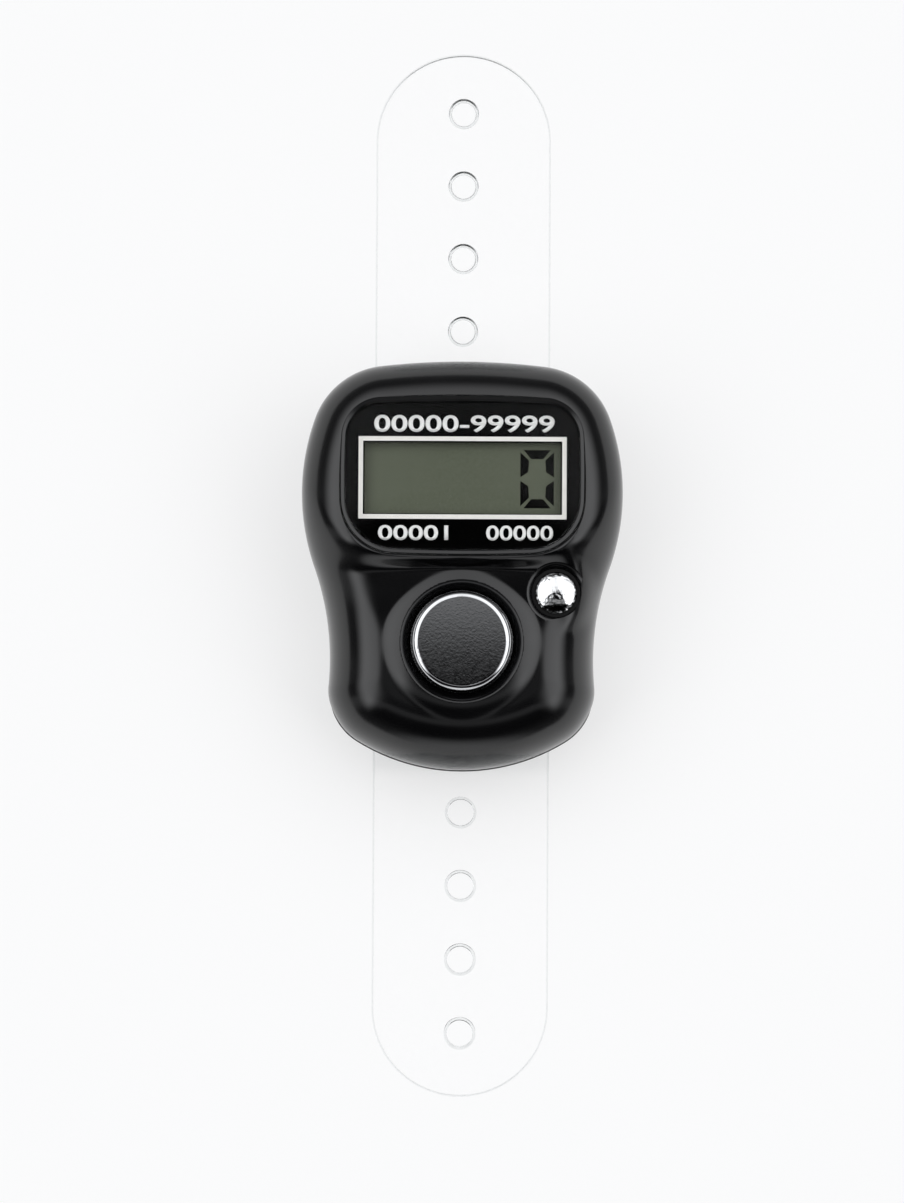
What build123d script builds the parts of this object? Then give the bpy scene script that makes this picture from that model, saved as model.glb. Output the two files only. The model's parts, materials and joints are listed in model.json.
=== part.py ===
"""Finger tally counter with a clear strap, lying on its back.

Frame: +Z points out of the face, +Y to the display end, +X to the right of the face.
The origin is the middle of the strap's footprint, on the surface that the counter lies on.
All lengths are millimetres.
"""
import os
from math import radians, sqrt, tan

from build123d import *

os.makedirs("parts", exist_ok=True)

# Shared fits and working values
overrun = 1.0
snug = 0.02
slide_gap = 0.15
seat_gap = 0.05
ON_BASE = (Align.CENTER, Align.CENTER, Align.MIN)
UNDER_TOP = (Align.CENTER, Align.CENTER, Align.MAX)

# Casing: plan outline and heights above the surface that the counter lies on
casing_width = 30.0
casing_length = 38.4
display_top = 14.9
flank_top = 12.9
parting = 6.0
rear_face = 3.1
rear_floor = 1.4
wall = 1.4
roof = 1.2
shoulder = 3.8
flank_shoulder = 5.0
inner_shoulder = 2.4
rear_shoulder = 2.2
parting_step = 0.1
lip_height = 1.0
lip_thickness = 0.65

# Plan outline: tangent arcs from the display end round to the button end
end_radius = 64.0
corner_radius = 7.4
side_radius = 21.2
widest_y = 6.8
waist_width = 24.8
waist_y = -8.7
low_corner_radius = 5.6
button_end_radius = 18.8

# Slope below the display, from the raised display half down to the flanks
chin_margin = 0.5
chin_rise = 4.9
chin_slope = 34
chin_round = 1.8

# Window set into the bezel
window_width = 21.6
window_height = 13.7
window_end_gap = 11.0
window_crown = 0.35
window_side_bulge = 0.25
window_top_radius = 3.2
window_bottom_radius = 4.6
window_recess = 0.75
window_thickness = 1.1
window_edge = 0.12
window_seat = 0.9
bezel_bevel = 0.55
mask_thickness = 0.15

# Display
view_width = 18.4
view_height = 6.8
view_drop = 0.15
border_line = 0.42
glass_margin = 0.35
glass_top_margin = 1.2
glass_bottom_margin = 0.5
glass_ledge = 1.9
glass_thickness = 0.7
film_thickness = 0.2
film_inset = 0.15
display_gap = 0.1
holder_wall = 0.5
holder_rest = 0.9
zebra_width = 1.5
zebra_length = 17.6
zebra_inset = 0.2

# Circuit board
board_top = 9.4
board_thickness = 1.0
board_gap = 0.8
chip_radius = 3.0
chip_height = 1.1
resistor_length = 2.0
resistor_width = 1.25
resistor_height = 0.5
capacitor_height = 0.8
passive_x = 6.2
passive_drop = 5.45
pad_thickness = 0.05
pad_split = 0.3

# Count key
count_y = -7.1
count_radius = 4.6
count_top = 14.9
count_edge = 0.55
count_roof = 1.3
count_skirt = 0.85
count_flange = 0.9
count_stem_radius = 1.5
count_travel = 0.9
count_pad_radius = 1.5
count_dome_radius = 3.4
count_crown_radius = 1.7
count_pill_radius = 1.2
count_pill_height = 0.5
flange_height = 0.7
collar_height = 0.95
collar_radius = 7.3
collar_crest_radius = 6.1
collar_rim_radius = 5.5
collar_rim_drop = 0.15
collar_funnel = 0.9

# Reset key
reset_x = 8.72
reset_drop = 2.84
reset_radius = 1.72
reset_top = 13.35
reset_crown = 0.45
reset_flange = 0.65
reset_travel = 0.7
reset_pad_radius = 1.0
reset_dome_radius = 2.2
reset_crown_radius = 1.1
reset_pill_radius = 0.75
reset_pill_height = 0.3
reset_recess_radius = 2.35
reset_recess_depth = 0.75
reset_pocket_gap = 0.3

# Silicone domes
dome_base = 0.4
dome_skin = 0.35
contact_reserve = 0.05

# Button cell and its contacts
cell_radius = 5.8
cell_height = 3.05
cell_y = -7.0
cell_cap_radius = 4.6
cell_cap_depth = 1.3
cell_step = 0.35
cell_edge = 0.3
gasket_width = 0.5
cell_ring_wall = 0.8
cell_ring_height = 2.0
cell_ring_gap = 0.15
contact_thickness = 0.2
contact_width = 3.6
contact_foot = 1.9
contact_slot_gap = 0.4
contact_reach = 5.4

# Fasteners
case_screw_x = 11.9
case_screw_y = 6.5
case_boss_radius = 1.6
case_seat_radius = 2.0
case_head_radius = 1.6
case_head_height = 1.1
case_head_sink = 1.5
case_shank_radius = 0.8
case_shank_length = 6.0
board_screw_end_inset = 4.0
board_screw_x = 6.6
board_screw_inset = 6.0
board_boss_radius = 1.5
board_head_radius = 1.3
board_head_height = 0.8
board_shank_radius = 0.65
board_shank_length = 3.2
boss_root = 0.5
cross_share = 0.62
cross_width = 0.45
cross_depth = 0.5
screw_hole_gap = 0.2

# Strap and the loops that hold it
strap_length = 100.0
strap_width = 16.8
strap_thickness = 1.2
strap_edge = 0.3
strap_gap = 0.2
strap_side_gap = 0.35
loop_inset = 6.2
loop_length = 3.6
loop_post = 1.5
loop_corner = 0.9
loop_chamfer = 0.3
bend_gap = 0.3
bend_run = 5.8
button_count = 4
button_end = 6.0
button_start = 2.1
stud_neck_radius = 1.15
stud_head_radius = 1.45
stud_neck_height = 0.7
stud_head_height = 0.9
stud_head_edge = 0.45
strap_hole_radius = 1.23
strap_hole_chamfer = 0.3

# Heights and places that follow from the sizes above
half_width = casing_width / 2
half_length = casing_length / 2
window_y = half_length - window_end_gap
view_y = window_y - view_drop
chin_y = window_y - window_height / 2 - bezel_bevel - chin_margin
reset_y = chin_y - reset_drop
chip_y = view_y
passive_y = chip_y - passive_drop
board_screw_end_y = half_length - board_screw_end_inset
board_screw_y = board_screw_inset - half_length
loop_y = half_length - loop_inset
bend_start = loop_y + loop_length / 2 + bend_gap
bend_end = bend_start + bend_run
rear_inside = rear_face + rear_floor
cavity_top = flank_top - roof
lip_inset = wall + slide_gap
rear_inset = lip_inset + lip_thickness
window_top = display_top - window_recess
window_base = window_top - window_thickness
seat_level = window_base - mask_thickness
board_base = board_top - board_thickness
border_width = view_width + 2 * border_line
border_height = view_height + 2 * border_line

glass_width = view_width + 2 * glass_margin
glass_top_y = view_y + view_height / 2 + glass_top_margin
rear_glass_y = view_y - view_height / 2 - glass_bottom_margin
front_glass_y = rear_glass_y - glass_ledge
display_ceiling = seat_level - roof / 2
film_top = display_ceiling - display_gap
front_glass_top = film_top - film_thickness
rear_glass_top = front_glass_top - glass_thickness
reflector_top = rear_glass_top - glass_thickness
reflector_base = reflector_top - film_thickness
holder_width = glass_width + 2 * (display_gap + holder_wall)
holder_low_y = front_glass_y - display_gap - holder_wall
holder_high_y = glass_top_y + display_gap + holder_wall
zebra_y = front_glass_y + zebra_inset + zebra_width / 2

pad_top = board_top + pad_thickness
flange_top = cavity_top - seat_gap
flange_base = flange_top - flange_height
count_pill_base = pad_top + contact_reserve + count_travel
count_pill_top = count_pill_base + count_pill_height
count_crown_top = count_pill_top + 2 * dome_skin
reset_pill_base = pad_top + contact_reserve + reset_travel
reset_pill_top = reset_pill_base + reset_pill_height
count_bore = count_radius + slide_gap
reset_bore = reset_radius + slide_gap
collar_top = flank_top + collar_height

cell_base = rear_inside + contact_thickness
cell_top = cell_base + cell_height
cell_ring_inner = cell_radius + cell_ring_gap
case_places = ((-case_screw_x, case_screw_y), (case_screw_x, case_screw_y))
case_head_top = rear_face + case_head_sink
board_places = (
    (0, board_screw_end_y),
    (board_screw_x, board_screw_y),
    (-board_screw_x, board_screw_y),
)

loop_height = rear_face - strap_thickness - 2 * strap_gap
strap_level = loop_height + strap_gap
channel_half_width = strap_width / 2 + strap_side_gap
loop_width = 2 * (channel_half_width + loop_post)
strap_end = strap_length / 2
first_button = strap_end - button_end
button_pitch = (first_button - bend_end - button_start) / (button_count - 1)



def arc_centre(first, first_reach, second, second_reach):
    """The centre of an arc that lies at the two reaches from two other arcs' centres."""
    span = second - first
    along = (first_reach**2 - second_reach**2 + span.length**2) / (2 * span.length)
    away = sqrt(first_reach**2 - along**2)
    direction = span.normalized()
    return first + direction * along + Vector(direction.Y, -direction.X) * away


def join(centre, radius, other):
    """The point where an arc meets its neighbour, on the line between their centres."""
    return centre + (other - centre).normalized() * radius


# The right half of the casing's edge, which every plan outline follows
waist_pinch = half_width - waist_width / 2
waist_radius = (waist_pinch**2 + (widest_y - waist_y) ** 2) / (2 * waist_pinch) - side_radius
end_centre = Vector(0, half_length - end_radius)
side_centre = Vector(half_width - side_radius, widest_y)
waist_centre = Vector(waist_width / 2 + waist_radius, waist_y)
button_end_centre = Vector(0, button_end_radius - half_length)
corner_centre = arc_centre(
    end_centre, end_radius - corner_radius, side_centre, side_radius - corner_radius
)
low_corner_centre = arc_centre(
    button_end_centre,
    button_end_radius - low_corner_radius,
    waist_centre,
    waist_radius + low_corner_radius,
)
outline_joins = (
    join(side_centre, side_radius, corner_centre),
    join(side_centre, side_radius, waist_centre),
    join(waist_centre, waist_radius, low_corner_centre),
    join(button_end_centre, button_end_radius, low_corner_centre),
    Vector(0, -half_length),
)
with BuildSketch() as casing_plan:
    with BuildLine() as casing_edge:
        end_join = join(end_centre, end_radius, corner_centre)
        arc = TangentArc((0, half_length), end_join, tangent=(1, 0))
        for place in outline_joins:
            arc = TangentArc(arc @ 1, place, tangent=arc % 1)
        mirror(casing_edge.edges(), about=Plane.YZ)
    make_face()


def casing_outline(inset):
    """The casing's plan outline, moved in from its edge by inset."""
    with BuildSketch() as outline:
        add(casing_plan.sketch)
        if inset:
            offset(amount=-inset)
    return outline.sketch


def pillow(base, top, inset, curve):
    """A body on the casing's outline that stands upright on base and rounds over, by curve, to top."""
    with BuildPart() as body:
        with BuildSketch(Plane.XY.offset(base)):
            add(casing_outline(inset))
        extrude(amount=top - base)
        fillet(body.edges().group_by(Axis.Z)[-1], radius=curve)
    return body.part


def window_outline(grow):
    """The window's plan outline, a rounded oblong with bulging sides, grown all round by grow."""
    side = window_width / 2 + grow
    rise = window_height / 2 + grow
    bulge = side - window_side_bulge
    crown = rise - window_crown
    with BuildSketch() as outline:
        with BuildLine():
            ThreePointArc((-bulge, crown), (0, rise), (bulge, crown))
            ThreePointArc((bulge, crown), (side, 0), (bulge, -crown))
            ThreePointArc((bulge, -crown), (0, -rise), (-bulge, -crown))
            ThreePointArc((-bulge, -crown), (-side, 0), (-bulge, crown))
        make_face()
        corners = outline.vertices().group_by(Axis.Y)
        fillet(corners[-1], radius=window_top_radius + grow)
        corners = outline.vertices().sort_by(Axis.Y)
        low = [corner for corner in corners if abs(corner.Y + crown) < window_crown and abs(corner.X) > bulge - snug]
        fillet(low, radius=window_bottom_radius + grow)
    return outline.sketch.moved(Location((0, window_y)))


# Raised display half: everything above a sloping chin
with BuildPart() as display_half:
    for level in (parting - overrun, display_top + overrun):
        chin_shift = (level - display_top) / tan(radians(chin_slope))
        chin_middle = (0, chin_y + chin_shift)
        chin_side = half_width + overrun
        chin_side_y = chin_y + chin_rise + chin_shift
        with BuildSketch(Plane.XY.offset(level)):
            with BuildLine():
                chin = ThreePointArc((-chin_side, chin_side_y), chin_middle, (chin_side, chin_side_y))
                far_corners = ((chin_side, casing_length), (-chin_side, casing_length))
                Polyline(chin @ 1, *far_corners, chin @ 0)
            make_face()
    loft(ruled=True)

# Front shell
with BuildPart() as front_shell:
    add(pillow(parting, display_top, 0, shoulder))
    add(display_half.part, mode=Mode.INTERSECT)
    chin_face = front_shell.faces().sort_by(lambda face: face.center().Y)[0]
    chin_edges = chin_face.edges().filter_by(lambda edge: edge.center().Z > parting + snug)
    fillet(chin_edges, radius=chin_round)
    add(pillow(parting, flank_top, 0, flank_shoulder))
    with BuildSketch(Plane.XZ.offset(-count_y)):
        with BuildLine():
            collar_slope = Spline(
                (collar_radius, flank_top),
                (collar_crest_radius, collar_top),
                tangents=((-1, 0), (-1, 0)),
            )
            Polyline(
                collar_slope @ 1,
                (collar_rim_radius + collar_rim_drop, collar_top),
                (collar_rim_radius, collar_top - collar_rim_drop),
                (count_bore, collar_top - collar_rim_drop - collar_funnel),
                (count_bore, cavity_top),
                (collar_radius, cavity_top),
                collar_slope @ 0,
            )
        make_face()
    revolve(axis=Axis((0, count_y, 0), (0, 0, 1)))
    add(pillow(parting, cavity_top, wall, inner_shoulder), mode=Mode.SUBTRACT)
    with Locations((0, (holder_low_y + holder_high_y) / 2, display_ceiling)):
        Box(
            holder_width + 2 * slide_gap,
            holder_high_y - holder_low_y + 2 * slide_gap,
            display_ceiling - parting,
            align=UNDER_TOP,
            mode=Mode.SUBTRACT,
        )
    with BuildSketch(Plane.XY.offset(seat_level)):
        add(window_outline(seat_gap))
    extrude(amount=display_top, mode=Mode.SUBTRACT)
    with BuildSketch(Plane.XY.offset(window_top)):
        add(window_outline(seat_gap))
    with BuildSketch(Plane.XY.offset(display_top)):
        add(window_outline(bezel_bevel))
    loft(ruled=True, mode=Mode.SUBTRACT)
    with BuildSketch(Plane.XY.offset(parting)):
        add(window_outline(-window_seat))
    extrude(amount=display_top, mode=Mode.SUBTRACT)
    with Locations((0, count_y, parting)):
        Cylinder(count_bore, flank_top, align=ON_BASE, mode=Mode.SUBTRACT)
    with Locations((reset_x, reset_y, flank_top - reset_recess_depth)):
        Cylinder(reset_recess_radius, display_top, align=ON_BASE, mode=Mode.SUBTRACT)
    with Locations((reset_x, reset_y, parting)):
        Cylinder(reset_bore, display_top, align=ON_BASE, mode=Mode.SUBTRACT)
        Cylinder(
            reset_radius + reset_flange + reset_pocket_gap,
            cavity_top - parting,
            align=ON_BASE,
            mode=Mode.SUBTRACT,
        )
    with Locations(*[(x, y, cavity_top + boss_root) for x, y in case_places]):
        Cylinder(case_boss_radius, cavity_top + boss_root - parting - seat_gap, align=UNDER_TOP)
    with Locations(*[(x, y, cavity_top + boss_root) for x, y in board_places]):
        Cylinder(board_boss_radius, cavity_top + boss_root - board_top, align=UNDER_TOP)
    with Locations(*[(x, y, case_head_top) for x, y in case_places]):
        Cylinder(
            case_shank_radius + snug,
            case_shank_length + seat_gap,
            align=ON_BASE,
            mode=Mode.SUBTRACT,
        )
    with Locations(*[(x, y, board_base) for x, y in board_places]):
        Cylinder(
            board_shank_radius + snug,
            board_shank_length + seat_gap,
            align=ON_BASE,
            mode=Mode.SUBTRACT,
        )
front_shell.part.label = "front_shell"
export_step(front_shell.part, "parts/front_shell.step")

# Rear shell with its lip, cell ring, screw seats and strap loops
with BuildPart() as rear_shell:
    with BuildSketch(Plane.XY.offset(rear_face)):
        add(casing_outline(parting_step))
    extrude(amount=parting - rear_face)
    fillet(rear_shell.edges().group_by(Axis.Z)[0], radius=rear_shoulder)
    with BuildSketch(Plane.XY.offset(parting)):
        add(casing_outline(lip_inset))
    extrude(amount=lip_height)
    with BuildSketch(Plane.XY.offset(rear_inside)):
        add(casing_outline(rear_inset))
    extrude(amount=parting, mode=Mode.SUBTRACT)
    with Locations(*[(x, y, parting) for x, y in case_places]):
        Cylinder(case_boss_radius + 2 * slide_gap, parting, align=ON_BASE, mode=Mode.SUBTRACT)
    with Locations(*[(x, y, rear_inside) for x, y in case_places]):
        Cylinder(case_seat_radius, parting - rear_inside, align=ON_BASE)
    with Locations(*[(x, y, 0) for x, y in case_places]):
        Cylinder(
            case_head_radius + slide_gap,
            case_head_top,
            align=ON_BASE,
            mode=Mode.SUBTRACT,
        )
        Cylinder(case_shank_radius + screw_hole_gap, display_top, align=ON_BASE, mode=Mode.SUBTRACT)
    with BuildSketch(Plane.XY.offset(rear_inside)):
        with Locations((0, cell_y)):
            Circle(cell_ring_inner + cell_ring_wall)
            Circle(cell_ring_inner, mode=Mode.SUBTRACT)
        with Locations((0, cell_y - cell_ring_inner)):
            Rectangle(contact_width + 2 * contact_slot_gap, cell_ring_inner, mode=Mode.SUBTRACT)
    extrude(amount=cell_ring_height)
    with BuildSketch():
        with Locations((0, loop_y), (0, -loop_y)):
            RectangleRounded(loop_width, loop_length, loop_corner)
    extrude(amount=rear_inside)
    with Locations((0, 0, loop_height)):
        Box(
            2 * channel_half_width,
            casing_length,
            rear_face - loop_height,
            align=ON_BASE,
            mode=Mode.SUBTRACT,
        )
    chamfer(rear_shell.edges().group_by(Axis.Z)[0], length=loop_chamfer)
rear_shell.part.label = "rear_shell"
export_step(rear_shell.part, "parts/rear_shell.step")

# Clear panel over the display
with BuildPart() as display_window:
    with BuildSketch(Plane.XY.offset(window_base)):
        add(window_outline(0))
    extrude(amount=window_thickness)
    chamfer(display_window.edges().group_by(Axis.Z)[-1], length=window_edge)
display_window.part.label = "display_window"
export_step(display_window.part, "parts/display_window.step")

# Black film behind the panel, open over the display
with BuildPart() as window_mask:
    with BuildSketch(Plane.XY.offset(seat_level)):
        add(window_outline(0))
        with Locations((0, view_y)):
            Rectangle(border_width, border_height, mode=Mode.SUBTRACT)
    extrude(amount=mask_thickness)
window_mask.part.label = "window_mask"
export_step(window_mask.part, "parts/window_mask.step")

# Silver line round the opening in the film
with BuildPart() as silver_border:
    with BuildSketch(Plane.XY.offset(seat_level)):
        with Locations((0, view_y)):
            Rectangle(border_width, border_height)
            Rectangle(view_width, view_height, mode=Mode.SUBTRACT)
    extrude(amount=mask_thickness)
silver_border.part.label = "silver_border"
export_step(silver_border.part, "parts/silver_border.step")

# Display sandwich, from the front film to the reflector
with BuildPart() as lcd_front_polariser:
    with Locations((0, (rear_glass_y + glass_top_y) / 2, front_glass_top)):
        Box(
            glass_width - 2 * film_inset,
            glass_top_y - rear_glass_y - 2 * film_inset,
            film_thickness,
            align=ON_BASE,
        )
lcd_front_polariser.part.label = "lcd_front_polariser"
export_step(lcd_front_polariser.part, "parts/lcd_front_polariser.step")

with BuildPart() as lcd_front_glass:
    with Locations((0, (front_glass_y + glass_top_y) / 2, rear_glass_top)):
        Box(glass_width, glass_top_y - front_glass_y, glass_thickness, align=ON_BASE)
lcd_front_glass.part.label = "lcd_front_glass"
export_step(lcd_front_glass.part, "parts/lcd_front_glass.step")

with BuildPart() as lcd_rear_glass:
    with Locations((0, (rear_glass_y + glass_top_y) / 2, reflector_top)):
        Box(glass_width, glass_top_y - rear_glass_y, glass_thickness, align=ON_BASE)
lcd_rear_glass.part.label = "lcd_rear_glass"
export_step(lcd_rear_glass.part, "parts/lcd_rear_glass.step")

with BuildPart() as lcd_reflector:
    with Locations((0, (rear_glass_y + glass_top_y) / 2, reflector_base)):
        Box(
            glass_width - 2 * film_inset,
            glass_top_y - rear_glass_y - 2 * film_inset,
            film_thickness,
            align=ON_BASE,
        )
lcd_reflector.part.label = "lcd_reflector"
export_step(lcd_reflector.part, "parts/lcd_reflector.step")

# Frame that seats the glass above the board, with a slot for the rubber connector
with BuildPart() as lcd_holder:
    with BuildSketch(Plane.XY.offset(board_top)):
        with Locations((0, (holder_low_y + holder_high_y) / 2)):
            Rectangle(holder_width, holder_high_y - holder_low_y)
    extrude(amount=front_glass_top - board_top)
    with Locations((0, (front_glass_y + glass_top_y) / 2, reflector_base)):
        Box(
            glass_width + 2 * display_gap,
            glass_top_y - front_glass_y + 2 * display_gap,
            display_top,
            align=ON_BASE,
            mode=Mode.SUBTRACT,
        )
    with Locations((0, (rear_glass_y + glass_top_y) / 2, board_top)):
        Box(
            glass_width - 2 * holder_rest,
            glass_top_y - rear_glass_y - 2 * holder_rest,
            display_top,
            align=ON_BASE,
            mode=Mode.SUBTRACT,
        )
    with Locations((0, zebra_y, board_top)):
        Box(
            zebra_length + 2 * slide_gap,
            zebra_width + 2 * slide_gap,
            display_top,
            align=ON_BASE,
            mode=Mode.SUBTRACT,
        )
lcd_holder.part.label = "lcd_holder"
export_step(lcd_holder.part, "parts/lcd_holder.step")

# Striped rubber connector from the board up to the glass ledge
with BuildPart() as zebra_strip:
    with Locations((0, zebra_y, board_top)):
        Box(zebra_length, zebra_width, rear_glass_top - board_top, align=ON_BASE)
zebra_strip.part.label = "zebra_strip"
export_step(zebra_strip.part, "parts/zebra_strip.step")

# Circuit board, notched round the case screw bosses
with BuildPart() as circuit_board:
    with BuildSketch(Plane.XY.offset(board_base)):
        add(casing_outline(wall + board_gap))
        with Locations(*case_places):
            Circle(case_boss_radius + 2 * slide_gap, mode=Mode.SUBTRACT)
        with Locations(*[(x + case_boss_radius * (1 if x > 0 else -1), y) for x, y in case_places]):
            Rectangle(
                2 * case_boss_radius,
                2 * (case_boss_radius + 2 * slide_gap),
                mode=Mode.SUBTRACT,
            )
        with Locations(*board_places):
            Circle(board_shank_radius + screw_hole_gap, mode=Mode.SUBTRACT)
    extrude(amount=board_thickness)
circuit_board.part.label = "circuit_board"
export_step(circuit_board.part, "parts/circuit_board.step")

# Resin drop over the counter chip, on the back of the board
with BuildPart() as chip_blob:
    with BuildSketch(Plane.XZ.offset(-chip_y)):
        with BuildLine():
            drop = EllipticalCenterArc(
                (0, board_base),
                chip_radius,
                chip_height,
                start_angle=270,
                arc_size=90,
            )
            Polyline(drop @ 1, (0, board_base), drop @ 0)
        make_face()
    revolve(axis=Axis((0, chip_y, 0), (0, 0, 1)))
chip_blob.part.label = "chip_blob"
export_step(chip_blob.part, "parts/chip_blob.step")

# Two passive parts beside the chip
with BuildPart() as timing_resistor:
    with Locations((passive_x, passive_y, board_base)):
        Box(resistor_length, resistor_width, resistor_height, align=UNDER_TOP)
timing_resistor.part.label = "timing_resistor"
export_step(timing_resistor.part, "parts/timing_resistor.step")

with BuildPart() as bypass_capacitor:
    with Locations((-passive_x, passive_y, board_base)):
        Box(resistor_length, resistor_width, capacitor_height, align=UNDER_TOP)
bypass_capacitor.part.label = "bypass_capacitor"
export_step(bypass_capacitor.part, "parts/bypass_capacitor.step")

# Split contact pads that each key bridges
with BuildPart() as key_pads:
    with BuildSketch(Plane.XY.offset(board_top)):
        with Locations((0, count_y)):
            Circle(count_pad_radius)
            Rectangle(pad_split, 2 * count_pad_radius, mode=Mode.SUBTRACT)
        with Locations((reset_x, reset_y)):
            Circle(reset_pad_radius)
            Rectangle(pad_split, 2 * reset_pad_radius, mode=Mode.SUBTRACT)
    extrude(amount=pad_thickness)
key_pads.part.label = "key_pads"
export_step(key_pads.part, "parts/key_pads.step")

# Count button: hollow plated cap with a flange under the collar and a stem on the dome
with BuildPart() as count_button:
    with Locations((0, count_y, flange_base)):
        Cylinder(count_radius, count_top - flange_base, align=ON_BASE)
    fillet(count_button.edges().group_by(Axis.Z)[-1], radius=count_edge)
    with Locations((0, count_y, flange_base)):
        Cylinder(count_radius + count_flange, flange_height, align=ON_BASE)
        Cylinder(
            count_radius - count_skirt,
            count_top - count_roof - flange_base,
            align=ON_BASE,
            mode=Mode.SUBTRACT,
        )
    with Locations((0, count_y, count_crown_top)):
        Cylinder(count_stem_radius, count_top - count_roof - count_crown_top, align=ON_BASE)
count_button.part.label = "count_button"
export_step(count_button.part, "parts/count_button.step")

# Reset button: small crowned cap with a flange
with BuildPart() as reset_button:
    with BuildSketch(Plane.XZ.offset(-reset_y)):
        with BuildLine():
            crown_side = (reset_x + reset_radius, reset_top - reset_crown)
            crown = TangentArc((reset_x, reset_top), crown_side, tangent=(1, 0))
            Polyline(
                crown @ 1,
                (reset_x + reset_radius, flange_top),
                (reset_x + reset_radius + reset_flange, flange_top),
                (reset_x + reset_radius + reset_flange, flange_base),
                (reset_x, flange_base),
                crown @ 0,
            )
        make_face()
    revolve(axis=Axis((reset_x, reset_y, 0), (0, 0, 1)))
reset_button.part.label = "reset_button"
export_step(reset_button.part, "parts/reset_button.step")


def dome_profile(x, base_radius, crown_radius, crown_top, pill_top):
    """Half section of a silicone dome that stands on the board at x: foot ring, sloping skirt and crown."""
    with BuildSketch() as section:
        with BuildLine():
            Polyline(
                (x, crown_top),
                (x + crown_radius, crown_top),
                (x + base_radius, board_top + dome_base),
                (x + base_radius, board_top),
                (x + base_radius - 2 * dome_skin, board_top),
                (x + base_radius - 2 * dome_skin, board_top + dome_base),
                (x + crown_radius - dome_skin, pill_top),
                (x, pill_top),
                (x, crown_top),
            )
        make_face()
    return section.sketch


# Silicone domes that push the caps back up
with BuildPart() as count_dome:
    with BuildSketch(Plane.XZ.offset(-count_y)):
        add(dome_profile(0, count_dome_radius, count_crown_radius, count_crown_top, count_pill_top))
    revolve(axis=Axis((0, count_y, 0), (0, 0, 1)))
count_dome.part.label = "count_dome"
export_step(count_dome.part, "parts/count_dome.step")

with BuildPart() as reset_dome:
    with BuildSketch(Plane.XZ.offset(-reset_y)):
        add(dome_profile(reset_x, reset_dome_radius, reset_crown_radius, flange_base, reset_pill_top))
    revolve(axis=Axis((reset_x, reset_y, 0), (0, 0, 1)))
reset_dome.part.label = "reset_dome"
export_step(reset_dome.part, "parts/reset_dome.step")

# Conductive pills under the dome crowns
with BuildPart() as count_pill:
    with Locations((0, count_y, count_pill_base)):
        Cylinder(count_pill_radius, count_pill_height, align=ON_BASE)
count_pill.part.label = "count_pill"
export_step(count_pill.part, "parts/count_pill.step")

with BuildPart() as reset_pill:
    with Locations((reset_x, reset_y, reset_pill_base)):
        Cylinder(reset_pill_radius, reset_pill_height, align=ON_BASE)
reset_pill.part.label = "reset_pill"
export_step(reset_pill.part, "parts/reset_pill.step")

# Button cell: steel can, sealing ring and cap, the cap to the rear
with BuildPart() as button_cell_can:
    with Locations((0, cell_y, cell_base + cell_step)):
        Cylinder(cell_radius, cell_height - cell_step, align=ON_BASE)
    fillet(button_cell_can.edges().group_by(Axis.Z)[-1], radius=cell_edge)
    with Locations((0, cell_y, cell_base)):
        Cylinder(
            cell_cap_radius + gasket_width + 2 * snug,
            cell_cap_depth,
            align=ON_BASE,
            mode=Mode.SUBTRACT,
        )
button_cell_can.part.label = "button_cell_can"
export_step(button_cell_can.part, "parts/button_cell_can.step")

with BuildPart() as button_cell_gasket:
    with BuildSketch(Plane.XY.offset(cell_base + cell_step / 2)):
        with Locations((0, cell_y)):
            Circle(cell_cap_radius + gasket_width + snug)
            Circle(cell_cap_radius + snug, mode=Mode.SUBTRACT)
    extrude(amount=cell_cap_depth - cell_step / 2)
button_cell_gasket.part.label = "button_cell_gasket"
export_step(button_cell_gasket.part, "parts/button_cell_gasket.step")

with BuildPart() as button_cell_cap:
    with Locations((0, cell_y, cell_base)):
        Cylinder(cell_cap_radius, cell_cap_depth, align=ON_BASE)
    fillet(button_cell_cap.edges().group_by(Axis.Z)[0], radius=cell_edge)
button_cell_cap.part.label = "button_cell_cap"
export_step(button_cell_cap.part, "parts/button_cell_cap.step")

# Sprung contact strips, soldered to the back of the board
with BuildPart() as battery_contact_positive:
    with BuildSketch(Plane.YZ):
        with BuildLine():
            foot_y = cell_y + cell_radius + contact_foot
            arm_y = foot_y - contact_foot
            touch_y = arm_y - contact_reach
            Polyline(
                (foot_y, board_base),
                (foot_y, board_base - contact_thickness),
                (arm_y, board_base - contact_thickness),
                (touch_y, cell_top),
                (touch_y - contact_foot, cell_top),
                (touch_y - contact_foot, cell_top + contact_thickness),
                (touch_y, cell_top + contact_thickness),
                (arm_y, board_base),
                (foot_y, board_base),
            )
        make_face()
    extrude(amount=contact_width / 2, both=True)
battery_contact_positive.part.label = "battery_contact_positive"
export_step(battery_contact_positive.part, "parts/battery_contact_positive.step")

with BuildPart() as battery_contact_negative:
    with BuildSketch(Plane.YZ):
        with BuildLine():
            leg_y = cell_y - cell_radius - contact_slot_gap
            tongue_y = cell_y + contact_foot
            Polyline(
                (leg_y - contact_thickness, board_base),
                (leg_y + contact_foot, board_base),
                (leg_y + contact_foot, board_base - contact_thickness),
                (leg_y, board_base - contact_thickness),
                (leg_y, rear_inside + contact_thickness),
                (tongue_y, rear_inside + contact_thickness),
                (tongue_y, rear_inside),
                (leg_y - contact_thickness, rear_inside),
                (leg_y - contact_thickness, board_base),
            )
        make_face()
    extrude(amount=contact_width / 2, both=True)
battery_contact_negative.part.label = "battery_contact_negative"
export_step(battery_contact_negative.part, "parts/battery_contact_negative.step")

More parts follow.
